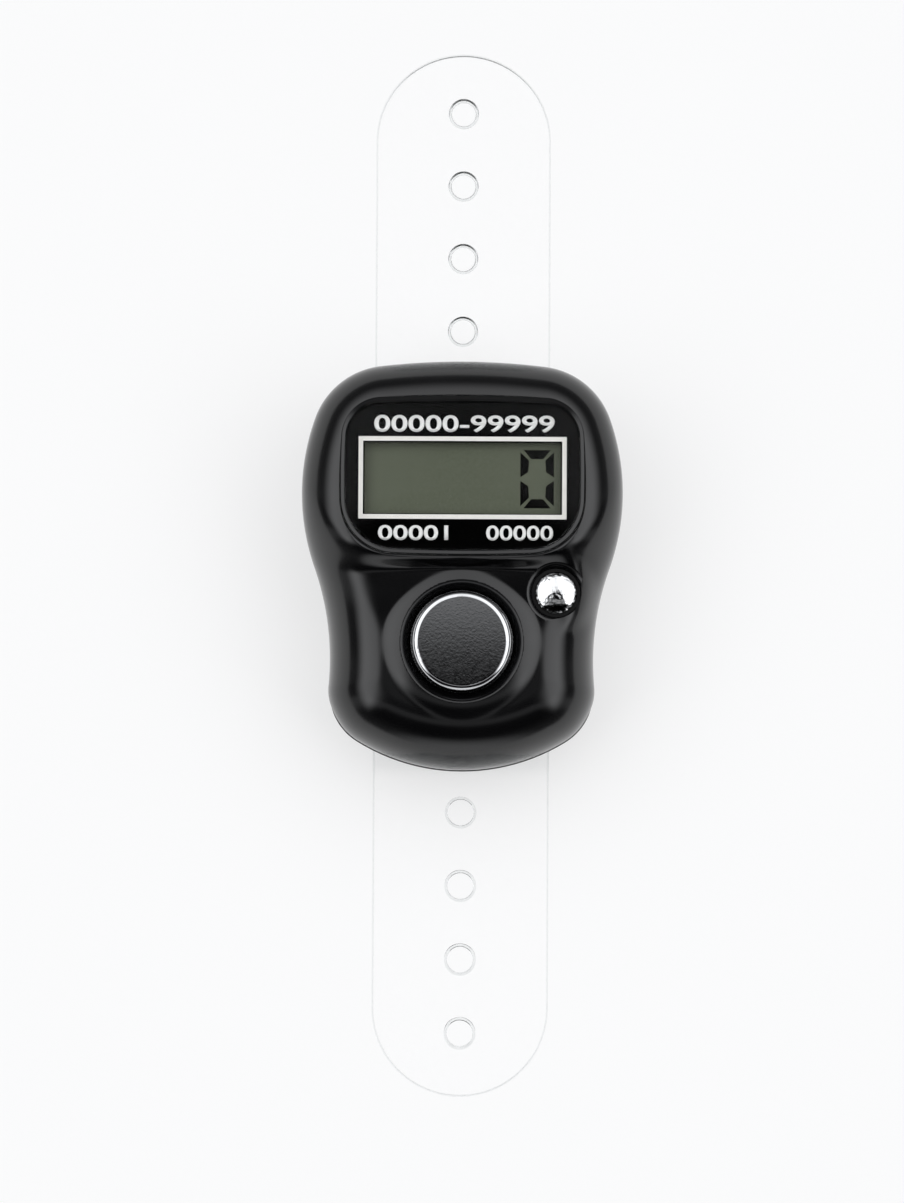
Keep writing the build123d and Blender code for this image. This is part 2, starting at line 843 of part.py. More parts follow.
# Screws from the rear into the front shell's bosses
with BuildPart() as case_screws:
    with Locations(*[(x, y, case_head_top) for x, y in case_places]):
        Cylinder(case_head_radius, case_head_height, align=UNDER_TOP)
        Cylinder(case_shank_radius, case_shank_length, align=ON_BASE)
    with Locations(*[(x, y, case_head_top - case_head_height) for x, y in case_places]):
        Box(
            2 * case_head_radius * cross_share,
            cross_width,
            cross_depth,
            align=ON_BASE,
            mode=Mode.SUBTRACT,
        )
        Box(
            cross_width,
            2 * case_head_radius * cross_share,
            cross_depth,
            align=ON_BASE,
            mode=Mode.SUBTRACT,
        )
case_screws.part.label = "case_screws"
export_step(case_screws.part, "parts/case_screws.step")

# Screws that hold the board to the front shell
with BuildPart() as board_screws:
    with Locations(*[(x, y, board_base) for x, y in board_places]):
        Cylinder(board_head_radius, board_head_height, align=UNDER_TOP)
        Cylinder(board_shank_radius, board_shank_length, align=ON_BASE)
    with Locations(*[(x, y, board_base - board_head_height) for x, y in board_places]):
        Box(
            2 * board_head_radius * cross_share,
            cross_width,
            cross_depth,
            align=ON_BASE,
            mode=Mode.SUBTRACT,
        )
        Box(
            cross_width,
            2 * board_head_radius * cross_share,
            cross_depth,
            align=ON_BASE,
            mode=Mode.SUBTRACT,
        )
board_screws.part.label = "board_screws"
export_step(board_screws.part, "parts/board_screws.step")

# Stretch of strap between the loops
with BuildPart() as strap_saddle:
    with Locations((0, 0, strap_level)):
        Box(strap_width, 2 * loop_y, strap_thickness, align=ON_BASE)
    fillet(strap_saddle.edges().filter_by(Axis.Y), radius=strap_edge)
strap_saddle.part.label = "strap_saddle"
export_step(strap_saddle.part, "parts/strap_saddle.step")


def strap_bend(side):
    """The stretch that leaves a loop and comes down to the surface, on the side of +Y or -Y."""
    high = strap_level + strap_thickness / 2
    low = strap_thickness / 2
    middle = ((bend_start + bend_end) / 2 * side, (high + low) / 2)
    with BuildPart() as bend:
        with BuildSketch(Plane.YZ):
            with BuildLine():
                run = Line((loop_y * side, high), (bend_start * side, high))
                fall = TangentArc(run @ 1, middle, tangent=run % 1)
                TangentArc(middle, (bend_end * side, low), tangent=fall % 1)
            trace(line_width=strap_thickness)
        extrude(amount=strap_width / 2, both=True)
    return bend.part


strap_upper_bend = strap_bend(1)
strap_upper_bend.label = "strap_upper_bend"
export_step(strap_upper_bend, "parts/strap_upper_bend.step")

strap_lower_bend = strap_bend(-1)
strap_lower_bend.label = "strap_lower_bend"
export_step(strap_lower_bend, "parts/strap_lower_bend.step")


def tail_outline(side):
    """Plan outline of a round-ended tail that lies flat, on the side of +Y or -Y."""
    half = strap_width / 2
    round_y = (strap_end - half) * side
    with BuildSketch() as outline:
        with BuildLine():
            tip = ThreePointArc((half, round_y), (0, strap_end * side), (-half, round_y))
            Polyline(tip @ 1, (-half, bend_end * side), (half, bend_end * side), tip @ 0)
        make_face()
    return outline.sketch


button_rows = [first_button - button_pitch * row for row in range(button_count)]

# One stud: neck and crowned head, rooted in the tail
with BuildPart() as stud:
    with BuildSketch(Plane.XZ):
        with BuildLine():
            neck_top = strap_thickness + stud_neck_height
            head_top = neck_top + stud_head_height
            crown = TangentArc((0, head_top), (stud_head_radius, head_top - stud_head_edge), tangent=(1, 0))
            Polyline(
                crown @ 1,
                (stud_head_radius, neck_top),
                (stud_neck_radius, neck_top),
                (stud_neck_radius, strap_thickness / 2),
                (0, strap_thickness / 2),
                crown @ 0,
            )
        make_face()
    revolve(axis=Axis.Z)

# Tail with studs
with BuildPart() as strap_stud_tail:
    with BuildSketch():
        add(tail_outline(1))
    extrude(amount=strap_thickness)
    tail_edges = strap_stud_tail.edges().filter_by(GeomType.CIRCLE)
    tail_edges += strap_stud_tail.edges().filter_by(Axis.Y)
    fillet(tail_edges, radius=strap_edge)
    with Locations(*[(0, y, 0) for y in button_rows]):
        add(stud.part)
strap_stud_tail.part.label = "strap_stud_tail"
export_step(strap_stud_tail.part, "parts/strap_stud_tail.step")

# Tail with holes
with BuildPart() as strap_hole_tail:
    with BuildSketch():
        add(tail_outline(-1))
    extrude(amount=strap_thickness)
    tail_edges = strap_hole_tail.edges().filter_by(GeomType.CIRCLE)
    tail_edges += strap_hole_tail.edges().filter_by(Axis.Y)
    fillet(tail_edges, radius=strap_edge)
    with Locations(*[(0, -y, strap_thickness) for y in button_rows]):
        Hole(strap_hole_radius, depth=strap_thickness)
    hole_rims = strap_hole_tail.edges().filter_by(GeomType.CIRCLE)
    hole_rims = hole_rims.filter_by(lambda rim: abs(rim.radius - strap_hole_radius) < snug)
    chamfer(hole_rims, length=strap_hole_chamfer)
strap_hole_tail.part.label = "strap_hole_tail"
export_step(strap_hole_tail.part, "parts/strap_hole_tail.step")
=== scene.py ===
# %% [markdown]
# # A finger tally counter
# The object is a small black plastic counter that is worn on a finger. A large chrome key adds one, a small
# chrome key clears the display, and a clear soft strap goes round the finger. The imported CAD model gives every
# rigid piece in its true place. This file adds what CAD is poor at: the soft strap, the rubber domes, the
# print behind the window, and the finishes. One frame in metres is used all through.

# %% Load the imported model
import json
import bmesh
import bpy
import numpy as np
from mathutils import Matrix, Vector

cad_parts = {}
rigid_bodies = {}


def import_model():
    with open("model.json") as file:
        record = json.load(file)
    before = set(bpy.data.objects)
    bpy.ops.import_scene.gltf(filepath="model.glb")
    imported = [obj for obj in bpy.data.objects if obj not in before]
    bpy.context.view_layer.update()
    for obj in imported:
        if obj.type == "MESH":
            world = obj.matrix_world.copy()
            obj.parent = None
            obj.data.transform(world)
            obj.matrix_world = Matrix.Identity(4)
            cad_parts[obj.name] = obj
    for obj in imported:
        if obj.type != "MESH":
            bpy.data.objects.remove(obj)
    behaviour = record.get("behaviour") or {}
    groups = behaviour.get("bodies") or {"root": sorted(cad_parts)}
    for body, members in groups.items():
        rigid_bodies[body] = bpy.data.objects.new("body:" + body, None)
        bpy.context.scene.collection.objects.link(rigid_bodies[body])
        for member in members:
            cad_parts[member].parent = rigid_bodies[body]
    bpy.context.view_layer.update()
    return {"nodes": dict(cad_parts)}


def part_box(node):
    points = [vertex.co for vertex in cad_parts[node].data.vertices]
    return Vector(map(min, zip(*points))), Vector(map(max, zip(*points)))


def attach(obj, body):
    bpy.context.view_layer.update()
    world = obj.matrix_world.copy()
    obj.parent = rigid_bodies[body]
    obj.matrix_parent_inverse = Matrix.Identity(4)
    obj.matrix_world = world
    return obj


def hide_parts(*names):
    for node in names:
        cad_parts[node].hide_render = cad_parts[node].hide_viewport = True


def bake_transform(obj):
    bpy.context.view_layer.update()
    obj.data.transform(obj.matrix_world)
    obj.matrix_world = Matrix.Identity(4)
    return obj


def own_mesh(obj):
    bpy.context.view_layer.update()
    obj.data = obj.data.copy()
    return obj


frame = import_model()
nodes = frame["nodes"]
MM = 0.001

# %% [markdown]
# ## Surfaces from arrays
# A shape is kept as a grid of points: row by row, column by column. Neighbouring points make the four-sided
# faces, and the last column joins the first. Points that fall together, at a pole or along a seam, are merged,
# so the surface is watertight and can be cut and joined afterwards.

# %% Helpers for meshes
# Points closer than this, in millimetres, are one point after a cut.
WELD = 1e-4


def as_piece(name, data):
    """An object that shows a mesh, or other data, put into the scene."""
    piece = bpy.data.objects.new(name, data)
    bpy.context.scene.collection.objects.link(piece)
    return piece


def grid_faces(rows, columns):
    """Corner numbers of the faces of a grid: each point with its right, upper right and upper neighbours."""
    across = np.arange(columns)
    right = (across + 1) % columns
    upward = np.arange(rows - 1)[:, None] * columns
    faces = np.stack([upward + across, upward + right, upward + columns + right, upward + columns + across], -1)
    return faces.reshape(-1, 4)


def mesh_piece(name, points, faces, merge=1e-3):
    """An object from points in millimetres; doubles closer than merge are joined and faces turned outwards."""
    mesh = bpy.data.meshes.new(name)
    mesh.from_pydata((np.asarray(points) * MM).tolist(), [], np.asarray(faces).tolist())
    work = bmesh.new()
    work.from_mesh(mesh)
    bmesh.ops.remove_doubles(work, verts=work.verts, dist=merge * MM)
    bmesh.ops.dissolve_degenerate(work, edges=work.edges, dist=merge * MM)
    bmesh.ops.recalc_face_normals(work, faces=work.faces)
    work.to_mesh(mesh)
    work.free()
    return as_piece(name, mesh)


def revolve(name, profile, centre, segments=96):
    """Turns a closed half section of (radius, height) points round the upright line through centre."""
    angle = np.linspace(0, 2 * np.pi, segments, endpoint=False)
    radius, height = np.asarray(profile, float).T
    x = centre[0] + np.outer(radius, np.cos(angle))
    y = centre[1] + np.outer(radius, np.sin(angle))
    z = np.outer(height, np.ones(segments))
    points = np.stack([x, y, z], -1).reshape(-1, 3)
    return mesh_piece(name, points, grid_faces(len(radius), segments))


def plate(name, outlines, low, high):
    """Flat plates: each outline of (x, y) points becomes a thin slab between two heights. An outline that runs
    clockwise is turned round, so that every face looks outwards."""
    points, faces, start = [], [], 0
    for outline in outlines:
        outline = np.asarray(outline, float)
        x, y = outline.T
        if np.sum(x * np.roll(y, -1) - np.roll(x, -1) * y) < 0:
            outline = outline[::-1]
        count = len(outline)
        ring = np.arange(count)
        points += [np.column_stack([outline, np.full(count, level)]) for level in (low, high)]
        faces.append((start + ring[::-1]).tolist())
        faces.append((start + count + ring).tolist())
        after = (ring + 1) % count
        sides = np.stack([ring, after, after + count, ring + count], -1) + start
        faces += sides.tolist()
        start += 2 * count
    mesh = bpy.data.meshes.new(name)
    mesh.from_pydata((np.concatenate(points) * MM).tolist(), [], faces)
    return as_piece(name, mesh)


def combine(piece, tool, operation):
    """Cuts a tool out of a piece, or joins it on, with the exact solver; the tool is then removed.

    Points that the solver leaves on one another are welded, so the skin stays closed.
    """
    modifier = piece.modifiers.new("tool", "BOOLEAN")
    modifier.operation = operation
    modifier.solver = "EXACT"
    modifier.object = tool
    graph = bpy.context.evaluated_depsgraph_get()
    result = bpy.data.meshes.new_from_object(piece.evaluated_get(graph))
    piece.modifiers.remove(modifier)
    work = bmesh.new()
    work.from_mesh(result)
    bmesh.ops.remove_doubles(work, verts=work.verts, dist=WELD * MM)
    work.to_mesh(result)
    work.free()
    old = piece.data
    piece.data = result
    bpy.data.meshes.remove(old)
    bpy.data.objects.remove(tool)
    return piece


def smooth(piece, angle=35):
    """Soft shading, with a crisp line where two faces meet at more than the angle in degrees."""
    piece.data.shade_smooth()
    piece.data.set_sharp_from_angle(angle=np.radians(angle))
    return piece


def count_triangles(piece):
    """Number of triangles of a mesh: each face has two fewer than it has corners."""
    sides = np.empty(len(piece.data.polygons), np.int32)
    piece.data.polygons.foreach_get("loop_total", sides)
    return int((sides - 2).sum())


# %% [markdown]
# ## Finishes
# Every finish starts from the real material. Colours are written as they look on a screen, in sRGB hex, and
# one function turns them into the linear numbers that the renderer adds up. A pattern's size is given in
# millimetres, and its texture scale is one over that size in metres.

# %% Colour and shader helpers
# The useful part of a noise's range, and how far from square a clear sheet is seen before it shows.
NOISE_LOW, NOISE_HIGH = 0.3, 0.7
SQUARE_ON = 0.02


def linear(code):
    """sRGB hex to linear red, green, blue and full opacity."""
    value = np.array([int(code[i:i + 2], 16) for i in (1, 3, 5)]) / 255
    light = np.where(value <= 0.04045, value / 12.92, ((value + 0.055) / 1.055) ** 2.4)
    return (*light.tolist(), 1.0)


def put(tree, kind, inputs=None, **settings):
    """Adds a shader node: settings are its own choices, and each input is a number to set or a socket to link."""
    node = tree.nodes.new(kind)
    for name, value in settings.items():
        setattr(node, name, value)
    for name, value in (inputs or {}).items():
        if isinstance(value, bpy.types.NodeSocket):
            tree.links.new(value, node.inputs[name])
        else:
            node.inputs[name].default_value = value
    return node


def rise(tree, value, low, high, start=0.0, end=1.0):
    """A node that eases from start to end while a value goes from low to high."""
    sockets = {"Value": value, "From Min": low, "From Max": high, "To Min": start, "To Max": end}
    return put(tree, "ShaderNodeMapRange", sockets, interpolation_type="SMOOTHSTEP").outputs["Result"]


def figure(tree, operation, *values):
    """A node that works out a sum, a product or the like."""
    return put(tree, "ShaderNodeMath", dict(enumerate(values)), operation=operation).outputs["Value"]


def finish(name, dark, light, patch, rough, grain=0.0, relief=0.0, stretch=(1, 1, 1), clear=False, veil=0.0,
           **sockets):
    """A finish whose colour wanders from dark to light over patches, whose gloss wanders between two roughness
    values, and whose skin has a relief of a given grain. Patch, grain and relief are in millimetres. A clear
    finish lets the tent's light through, as a thin clear sheet does. With veil above 0 its reflection and bending
    of light fade out where it is seen squarely, as on a satin sheet that lies on paper."""
    material = bpy.data.materials.new(name)
    material.use_nodes = True
    tree = material.node_tree
    shader = tree.nodes["Principled BSDF"]
    place = put(tree, "ShaderNodeTexCoord").outputs["Object"]
    place = put(tree, "ShaderNodeMapping", {"Vector": place, "Scale": stretch}).outputs["Vector"]
    cloud = put(tree, "ShaderNodeTexNoise", {"Vector": place, "Scale": 1 / (patch * MM), "Detail": 3.0})
    tint = put(tree, "ShaderNodeMix", {"Factor": cloud.outputs["Fac"]}, data_type="RGBA")
    tint.inputs[6].default_value = linear(dark)
    tint.inputs[7].default_value = linear(light)
    tree.links.new(tint.outputs[2], shader.inputs["Base Color"])
    gloss = put(tree, "ShaderNodeMapRange",
                {"Value": cloud.outputs["Fac"], "From Min": NOISE_LOW, "From Max": NOISE_HIGH,
                 "To Min": rough[0], "To Max": rough[1]})
    tree.links.new(gloss.outputs["Result"], shader.inputs["Roughness"])
    if relief:
        skin = put(tree, "ShaderNodeTexNoise", {"Vector": place, "Scale": 1 / (grain * MM), "Detail": 2.0})
        bump = put(tree, "ShaderNodeBump", {"Height": skin.outputs["Fac"], "Distance": relief * MM})
        tree.links.new(bump.outputs["Normal"], shader.inputs["Normal"])
    for socket, value in sockets.items():
        shader.inputs[socket.replace("_", " ")].default_value = value
    if clear:
        shader.inputs["Transmission Weight"].default_value = 1.0
        ray = put(tree, "ShaderNodeLightPath")
        open_way = put(tree, "ShaderNodeBsdfTransparent").outputs["BSDF"]
        surface = shader.outputs["BSDF"]
        if veil:
            facing = put(tree, "ShaderNodeLayerWeight", {"Blend": 0.5}).outputs["Facing"]
            aslant = rise(tree, facing, SQUARE_ON, veil)
            surface = put(tree, "ShaderNodeMixShader", {"Fac": aslant, 1: open_way, 2: surface}).outputs[0]
        for kind in ("Is Diffuse Ray", "Is Shadow Ray"):
            surface = put(tree, "ShaderNodeMixShader",
                          {"Fac": ray.outputs[kind], 1: surface, 2: open_way}).outputs[0]
        tree.links.new(surface, tree.nodes["Material Output"].inputs["Surface"])
    return material


def dress(material, *names):
    """Gives CAD nodes a finish."""
    for name in names:
        nodes[name].data.materials.clear()
        nodes[name].data.materials.append(material)


# %% [markdown]
# The casing is injection-moulded ABS from a polished tool: very dark and glossy, with a faint waviness where
# the plastic shrank as it cooled. The rear half comes from a finely blasted tool and is a little duller.

# %% Casing
polished_abs = finish("polished_black_ABS", "#060607", "#0A0A0B", patch=9, rough=(0.15, 0.20),
                      grain=5, relief=0.003, IOR=1.53)
blasted_abs = finish("blasted_black_ABS", "#0B0B0C", "#101011", patch=4, rough=(0.34, 0.42),
                     grain=0.12, relief=0.01, IOR=1.53)
dress(blasted_abs, "rear_shell")
print("casing finished:", polished_abs.name, blasted_abs.name)

# %% [markdown]
# The window is a clear acrylic panel, coated against glare, so it mirrors less than bare acrylic would: its IOR
# is set low for that. Behind it lies a black printed film with the display's opening, and a silver-white ink
# line round that opening.

# %% Window
acrylic = finish("clear_acrylic", "#FBFCFB", "#FFFFFF", patch=6, rough=(0.0, 0.015), grain=4, relief=0.001,
                 IOR=1.2, clear=True)
mask_film = finish("black_printed_film", "#010101", "#030303", patch=2, rough=(0.35, 0.45), grain=0.05,
                   relief=0.002, Specular_IOR_Level=0.0)
silver_ink = finish("silver_white_ink", "#E4E2DC", "#F3F1EC", patch=0.6, rough=(0.35, 0.5), grain=0.06,
                    relief=0.004)
dress(mask_film, "window_mask")
dress(silver_ink, "silver_border")
print("window finished:", acrylic.name, mask_film.name, silver_ink.name)

# %% [markdown]
# The display is a sandwich: polarising film, two glass plates with the liquid crystal between them, and a
# reflector. Together they look like dull grey-green paper, which the front film carries here.

# %% Display
polariser = finish("grey_green_polariser", "#535748", "#5F6456", patch=0.25, rough=(0.4, 0.5), grain=0.08,
                   relief=0.003, Specular_IOR_Level=0.1)
plate_glass = finish("soda_lime_glass", "#EEF5F0", "#F6FAF7", patch=3, rough=(0.0, 0.02), IOR=1.52,
                     clear=True)
reflector = finish("aluminised_film", "#BFC1BE", "#CFD0CC", patch=1, rough=(0.35, 0.45), grain=0.1,
                   relief=0.004, Metallic=1.0)
holder_plastic = finish("white_polystyrene", "#DEDDD6", "#E9E8E2", patch=3, rough=(0.4, 0.5), grain=0.3,
                        relief=0.006)
dress(polariser, "lcd_front_polariser")
dress(plate_glass, "lcd_front_glass", "lcd_rear_glass")
dress(reflector, "lcd_reflector")
dress(holder_plastic, "lcd_holder")
print("display finished:", polariser.name, plate_glass.name, reflector.name, holder_plastic.name)

# %% [markdown]
# The zebra strip is silicone rubber in thin layers, black ones that carry current and pale ones that do not.
# Real layers are about 0.05 mm thick; they are drawn 0.8 mm thick so that they show.

# %% Zebra strip
# The wave's phase is 20 times scale times metres, and a layer is half a turn: pi / (20 x 200) m.
LAYER_SCALE = 200.0
LAYER_LOW, LAYER_HIGH = 0.4, 0.6
zebra = finish("layered_silicone", "#1A1A1A", "#D8CFC0", patch=1, rough=(0.6, 0.7), IOR=1.41)
tree = zebra.node_tree
tint = next(node for node in tree.nodes if node.type == "MIX")
place = next(node for node in tree.nodes if node.type == "MAPPING").outputs["Vector"]
bands = put(tree, "ShaderNodeTexWave", {"Vector": place, "Scale": LAYER_SCALE},
            bands_direction="X", wave_profile="TRI")
edge = put(tree, "ShaderNodeMapRange",
           {"Value": bands.outputs["Fac"], "From Min": LAYER_LOW, "From Max": LAYER_HIGH})
tree.links.new(edge.outputs["Result"], tint.inputs["Factor"])
dress(zebra, "zebra_strip")
print("zebra strip finished:", zebra.name)

# %% [markdown]
# The inside of the counter is plain electronics: a green board with a resin drop over the chip, two small
# passives, carbon pads, and a button cell between two spring contacts.

# %% Electronics
laminate = finish("green_glass_epoxy", "#1F5A38", "#2A6B45", patch=0.5, rough=(0.3, 0.42), grain=0.35,
                  relief=0.006)
resin = finish("black_epoxy_resin", "#0C0C0D", "#131314", patch=1.2, rough=(0.18, 0.3), grain=0.8, relief=0.02)
ceramic = finish("tan_ceramic", "#A98B63", "#BBA07A", patch=0.3, rough=(0.5, 0.6), grain=0.08, relief=0.006)
carbon_ink = finish("printed_carbon", "#17181A", "#232427", patch=0.2, rough=(0.55, 0.7), grain=0.05,
                    relief=0.006)
carbon_rubber = finish("carbon_loaded_rubber", "#141415", "#1E1E20", patch=0.3, rough=(0.7, 0.8), grain=0.08,
                       relief=0.006)
cell_steel = finish("nickel_plated_steel", "#B8B7B2", "#C6C5C0", patch=1.5, rough=(0.18, 0.28), grain=0.15,
                    relief=0.003, stretch=(1, 8, 1), Metallic=1.0)
nylon = finish("natural_nylon", "#C9C4B4", "#D6D2C4", patch=0.8, rough=(0.5, 0.6), grain=0.2, relief=0.004)
bronze = finish("phosphor_bronze", "#B08654", "#C39A66", patch=0.8, rough=(0.25, 0.35), grain=0.1, relief=0.003,
                stretch=(6, 1, 1), Metallic=1.0)
zinc = finish("zinc_plated_steel", "#A9ABAB", "#BCBEBE", patch=0.4, rough=(0.28, 0.4), grain=0.1, relief=0.004,
              Metallic=1.0)
dress(laminate, "circuit_board")
dress(resin, "chip_blob")
dress(ceramic, "timing_resistor", "bypass_capacitor")
dress(carbon_ink, "key_pads")
dress(carbon_rubber, "count_pill", "reset_pill")
dress(cell_steel, "button_cell_can", "button_cell_cap")
dress(nylon, "button_cell_gasket")
dress(bronze, "battery_contact_positive", "battery_contact_negative")
dress(zinc, "case_screws", "board_screws")
print(len(bpy.data.materials), "finishes so far")

# %% [markdown]
# The two keys are ABS caps with a bright chrome plate. The count key's flat face has a fine grain under the
# plate; the reset key is polished.

# %% Keys
grained_chrome = finish("grained_chrome_plate", "#C9CACC", "#D6D7D9", patch=0.4, rough=(0.05, 0.08), grain=0.2,
                        relief=0.0012, Metallic=1.0)
polished_chrome = finish("polished_chrome_plate", "#D4D5D6", "#DEDFE0", patch=0.6, rough=(0.05, 0.12),
                         grain=0.5, relief=0.06, Metallic=1.0)
dress(grained_chrome, "count_button")
dress(polished_chrome, "reset_button")
print("keys finished:", grained_chrome.name, polished_chrome.name)

# %% [markdown]
# ## The front shell's skin
# The upper half of the casing is one polished moulding that flows: the raised display end runs down a soft
# chin to the lower end, round shoulders fall to an upright wall, and a low ring stands round the count key.
# CAD gives its size and place with plain rounds. Here it is worked out as a height over the plan, so that
# everything blends. The plan outline is a chain of arcs that run into each other without a corner.

# %% Outlines from arcs


def meet(first, first_reach, second, second_reach):
    """Centre of an arc that lies at the two reaches from two other centres, on the right of the line."""
    first, span = np.asarray(first, float), np.subtract(second, first)
    length = np.hypot(*span)
    along = (first_reach ** 2 - second_reach ** 2 + length ** 2) / (2 * length)
    away = np.sqrt(first_reach ** 2 - along ** 2)
    unit = span / length
    return first + unit * along + np.array([unit[1], -unit[0]]) * away


def arc_outline(arcs, start, end, count, pace=None):
    """Closed outline, the same on both sides: arcs of (centre, radius, 1 bulging or -1 hollow) from start at the
    top to end at the bottom, at even steps of length, or at the pace of another chain of as many arcs. Returns
    points, outward directions and the pace: which arc each point is on, and how far along it."""
    centres, radii, sense = (np.array(part, float) for part in zip(*arcs))
    step = np.diff(centres, axis=0)
    unit = step / np.hypot(step[:, 0], step[:, 1])[:, None]
    outer = np.where((sense[:-1] != sense[1:]) | (radii[:-1] > radii[1:]), 1.0, 0.0)[:, None]
    joins = outer * (centres[:-1] + unit * radii[:-1, None]) + (1 - outer) * (centres[1:] - unit * radii[1:, None])
    joins = np.vstack([start, joins, end])
    first, last = joins[:-1] - centres, joins[1:] - centres
    begin = np.arctan2(first[:, 1], first[:, 0])
    sweep = (np.arctan2(last[:, 1], last[:, 0]) - begin + np.pi) % (2 * np.pi) - np.pi
    if pace is None:
        reach = np.concatenate([[0], np.cumsum(np.abs(sweep) * radii)])
        place = np.linspace(0, reach[-1], count)
        which = np.clip(np.searchsorted(reach, place, side="right") - 1, 0, len(arcs) - 1)
        pace = which, (place - reach[which]) / (reach[which + 1] - reach[which])
    which, part = pace
    angle = begin[which] + sweep[which] * part
    ray = np.stack([np.cos(angle), np.sin(angle)], -1)
    points = centres[which] + radii[which, None] * ray
    outward = sense[which, None] * ray
    flip = np.array([-1, 1])
    return np.vstack([points, points[-2:0:-1] * flip]), np.vstack([outward, outward[-2:0:-1] * flip]), pace


# %% Casing outline
HALF_WIDTH, HALF_LENGTH = 15.0, 19.2
END_RADIUS, CORNER_RADIUS, SIDE_RADIUS = 64.0, 7.4, 21.2
LOW_CORNER_RADIUS, BUTTON_END_RADIUS = 5.6, 18.8
WIDEST_Y, WAIST_HALF, WAIST_Y = 6.8, 12.4, -8.7
pinch = HALF_WIDTH - WAIST_HALF
waist_radius = (pinch ** 2 + (WIDEST_Y - WAIST_Y) ** 2) / (2 * pinch) - SIDE_RADIUS
end_centre = (0, HALF_LENGTH - END_RADIUS)
side_centre = (HALF_WIDTH - SIDE_RADIUS, WIDEST_Y)
waist_centre = (WAIST_HALF + waist_radius, WAIST_Y)
button_centre = (0, BUTTON_END_RADIUS - HALF_LENGTH)
corner_centre = meet(end_centre, END_RADIUS - CORNER_RADIUS, side_centre, SIDE_RADIUS - CORNER_RADIUS)
low_centre = meet(button_centre, BUTTON_END_RADIUS - LOW_CORNER_RADIUS, waist_centre,
                  waist_radius + LOW_CORNER_RADIUS)
casing_arcs = [(end_centre, END_RADIUS, 1), (corner_centre, CORNER_RADIUS, 1), (side_centre, SIDE_RADIUS, 1),
               (waist_centre, waist_radius, -1), (low_centre, LOW_CORNER_RADIUS, 1),
               (button_centre, BUTTON_END_RADIUS, 1)]
RING_POINTS = 300
edge_points, edge_out, edge_pace = arc_outline(casing_arcs, (0, HALF_LENGTH), (0, -HALF_LENGTH), RING_POINTS)
print("casing outline in mm:", np.round(np.ptp(edge_points, axis=0), 2), "with", len(edge_points), "points")

# %% Height of the skin
PARTING = 6.0
FLANK_TOP, DISPLAY_TOP = 12.9, 14.9
DISPLAY_SHOULDER, FLANK_SHOULDER = 5.0, 5.2
DISPLAY_FALL, FLANK_FALL = 5.0, 6.6
SHOULDER_CHANGE, SHOULDER_CHANGE_LENGTH = -3.5, 9.0
RAMP, RAMP_START, RAMP_LENGTH = 0.7, -6.5, 8.0
RAMP_DIP, RAMP_DIP_WIDTH = 0.6, 6.0
CHIN_SIDE, CHIN_CREST, CHIN_CREST_SWEEP = 12.0, 0.8, 3.6
CHIN_FOOT, CHIN_FOOT_SWEEP = -0.5, 0.9
COUNT_PLACE = (0.0, -7.1)
COLLAR_CREST, COLLAR_FLAT = 0.5, 5.65
COLLAR_SLOPE, COLLAR_BEND = 0.165, 0.13
BLEND = 0.2
RESET_PLACE = (8.72, -2.54)
RESET_SWELL, RESET_RIM_RADIUS, RESET_SPREAD = 0.6, 2.4, 2.2
RESET_SIDE, RESET_SIDE_LENGTH = 0.5, 3.2


def ease(t):
    """Smooth step from 0 to 1 with level ends, by the fifth power."""
    t = np.clip(t, 0, 1)
    return t ** 3 * (10 - 15 * t + 6 * t ** 2)


def soft_max(a, b, width):
    """The higher of two surfaces, with a hollow round where they cross."""
    share = np.clip(0.5 + 0.5 * (a - b) / width, 0, 1)
    return b + (a - b) * share + width * share * (1 - share)


def deck(x, y):
    """Top surface without shoulders: the flank, a gentle ramp and the chin that ease up to the display, and the
    collar, which leans outwards ever more down to its foot. The chin is short at the middle, where the ramp is
    low, and long at the sides."""
    side = np.abs(x) / CHIN_SIDE
    crest = CHIN_CREST + CHIN_CREST_SWEEP * side ** 4
    foot = CHIN_FOOT - CHIN_FOOT_SWEEP * side ** 2
    ramp = RAMP * (1 - RAMP_DIP * np.exp(-(x / RAMP_DIP_WIDTH) ** 2))
    chin = DISPLAY_TOP - FLANK_TOP - ramp
    height = FLANK_TOP + ramp * ease((y - RAMP_START) / RAMP_LENGTH) + chin * ease((y - foot) / (crest - foot))
    out = np.clip(np.hypot(x - COUNT_PLACE[0], y - COUNT_PLACE[1]) - COLLAR_FLAT, 0, None)
    collar = FLANK_TOP + COLLAR_CREST - COLLAR_SLOPE * out - COLLAR_BEND * out ** 2
    return soft_max(height, collar, BLEND)


def skin_height(x, y, inset):
    """Deck less the shoulder's fall, a quarter of an ellipse that is wider and deeper at the lower end. On the
    outer side of the reset key the skin swells to carry its rim, and eases back within the spread."""
    share = ease((y - SHOULDER_CHANGE) / SHOULDER_CHANGE_LENGTH)
    wide = FLANK_SHOULDER + (DISPLAY_SHOULDER - FLANK_SHOULDER) * share
    deep = FLANK_FALL + (DISPLAY_FALL - FLANK_FALL) * share
    short = np.clip((wide - inset) / wide, 0, 1)
    reach = np.hypot(x - RESET_PLACE[0], y - RESET_PLACE[1])
    outside = ease((x - RESET_PLACE[0] + RESET_SIDE) / RESET_SIDE_LENGTH)
    swell = RESET_SWELL * outside * (1 - ease((reach - RESET_RIM_RADIUS) / RESET_SPREAD))
    return deck(x, y) - deep * (1 - np.sqrt(1 - short ** 2)) + swell


print("deck in mm from the lower end to the display:", np.round(deck(0, np.linspace(-HALF_LENGTH, 2, 5)), 2))

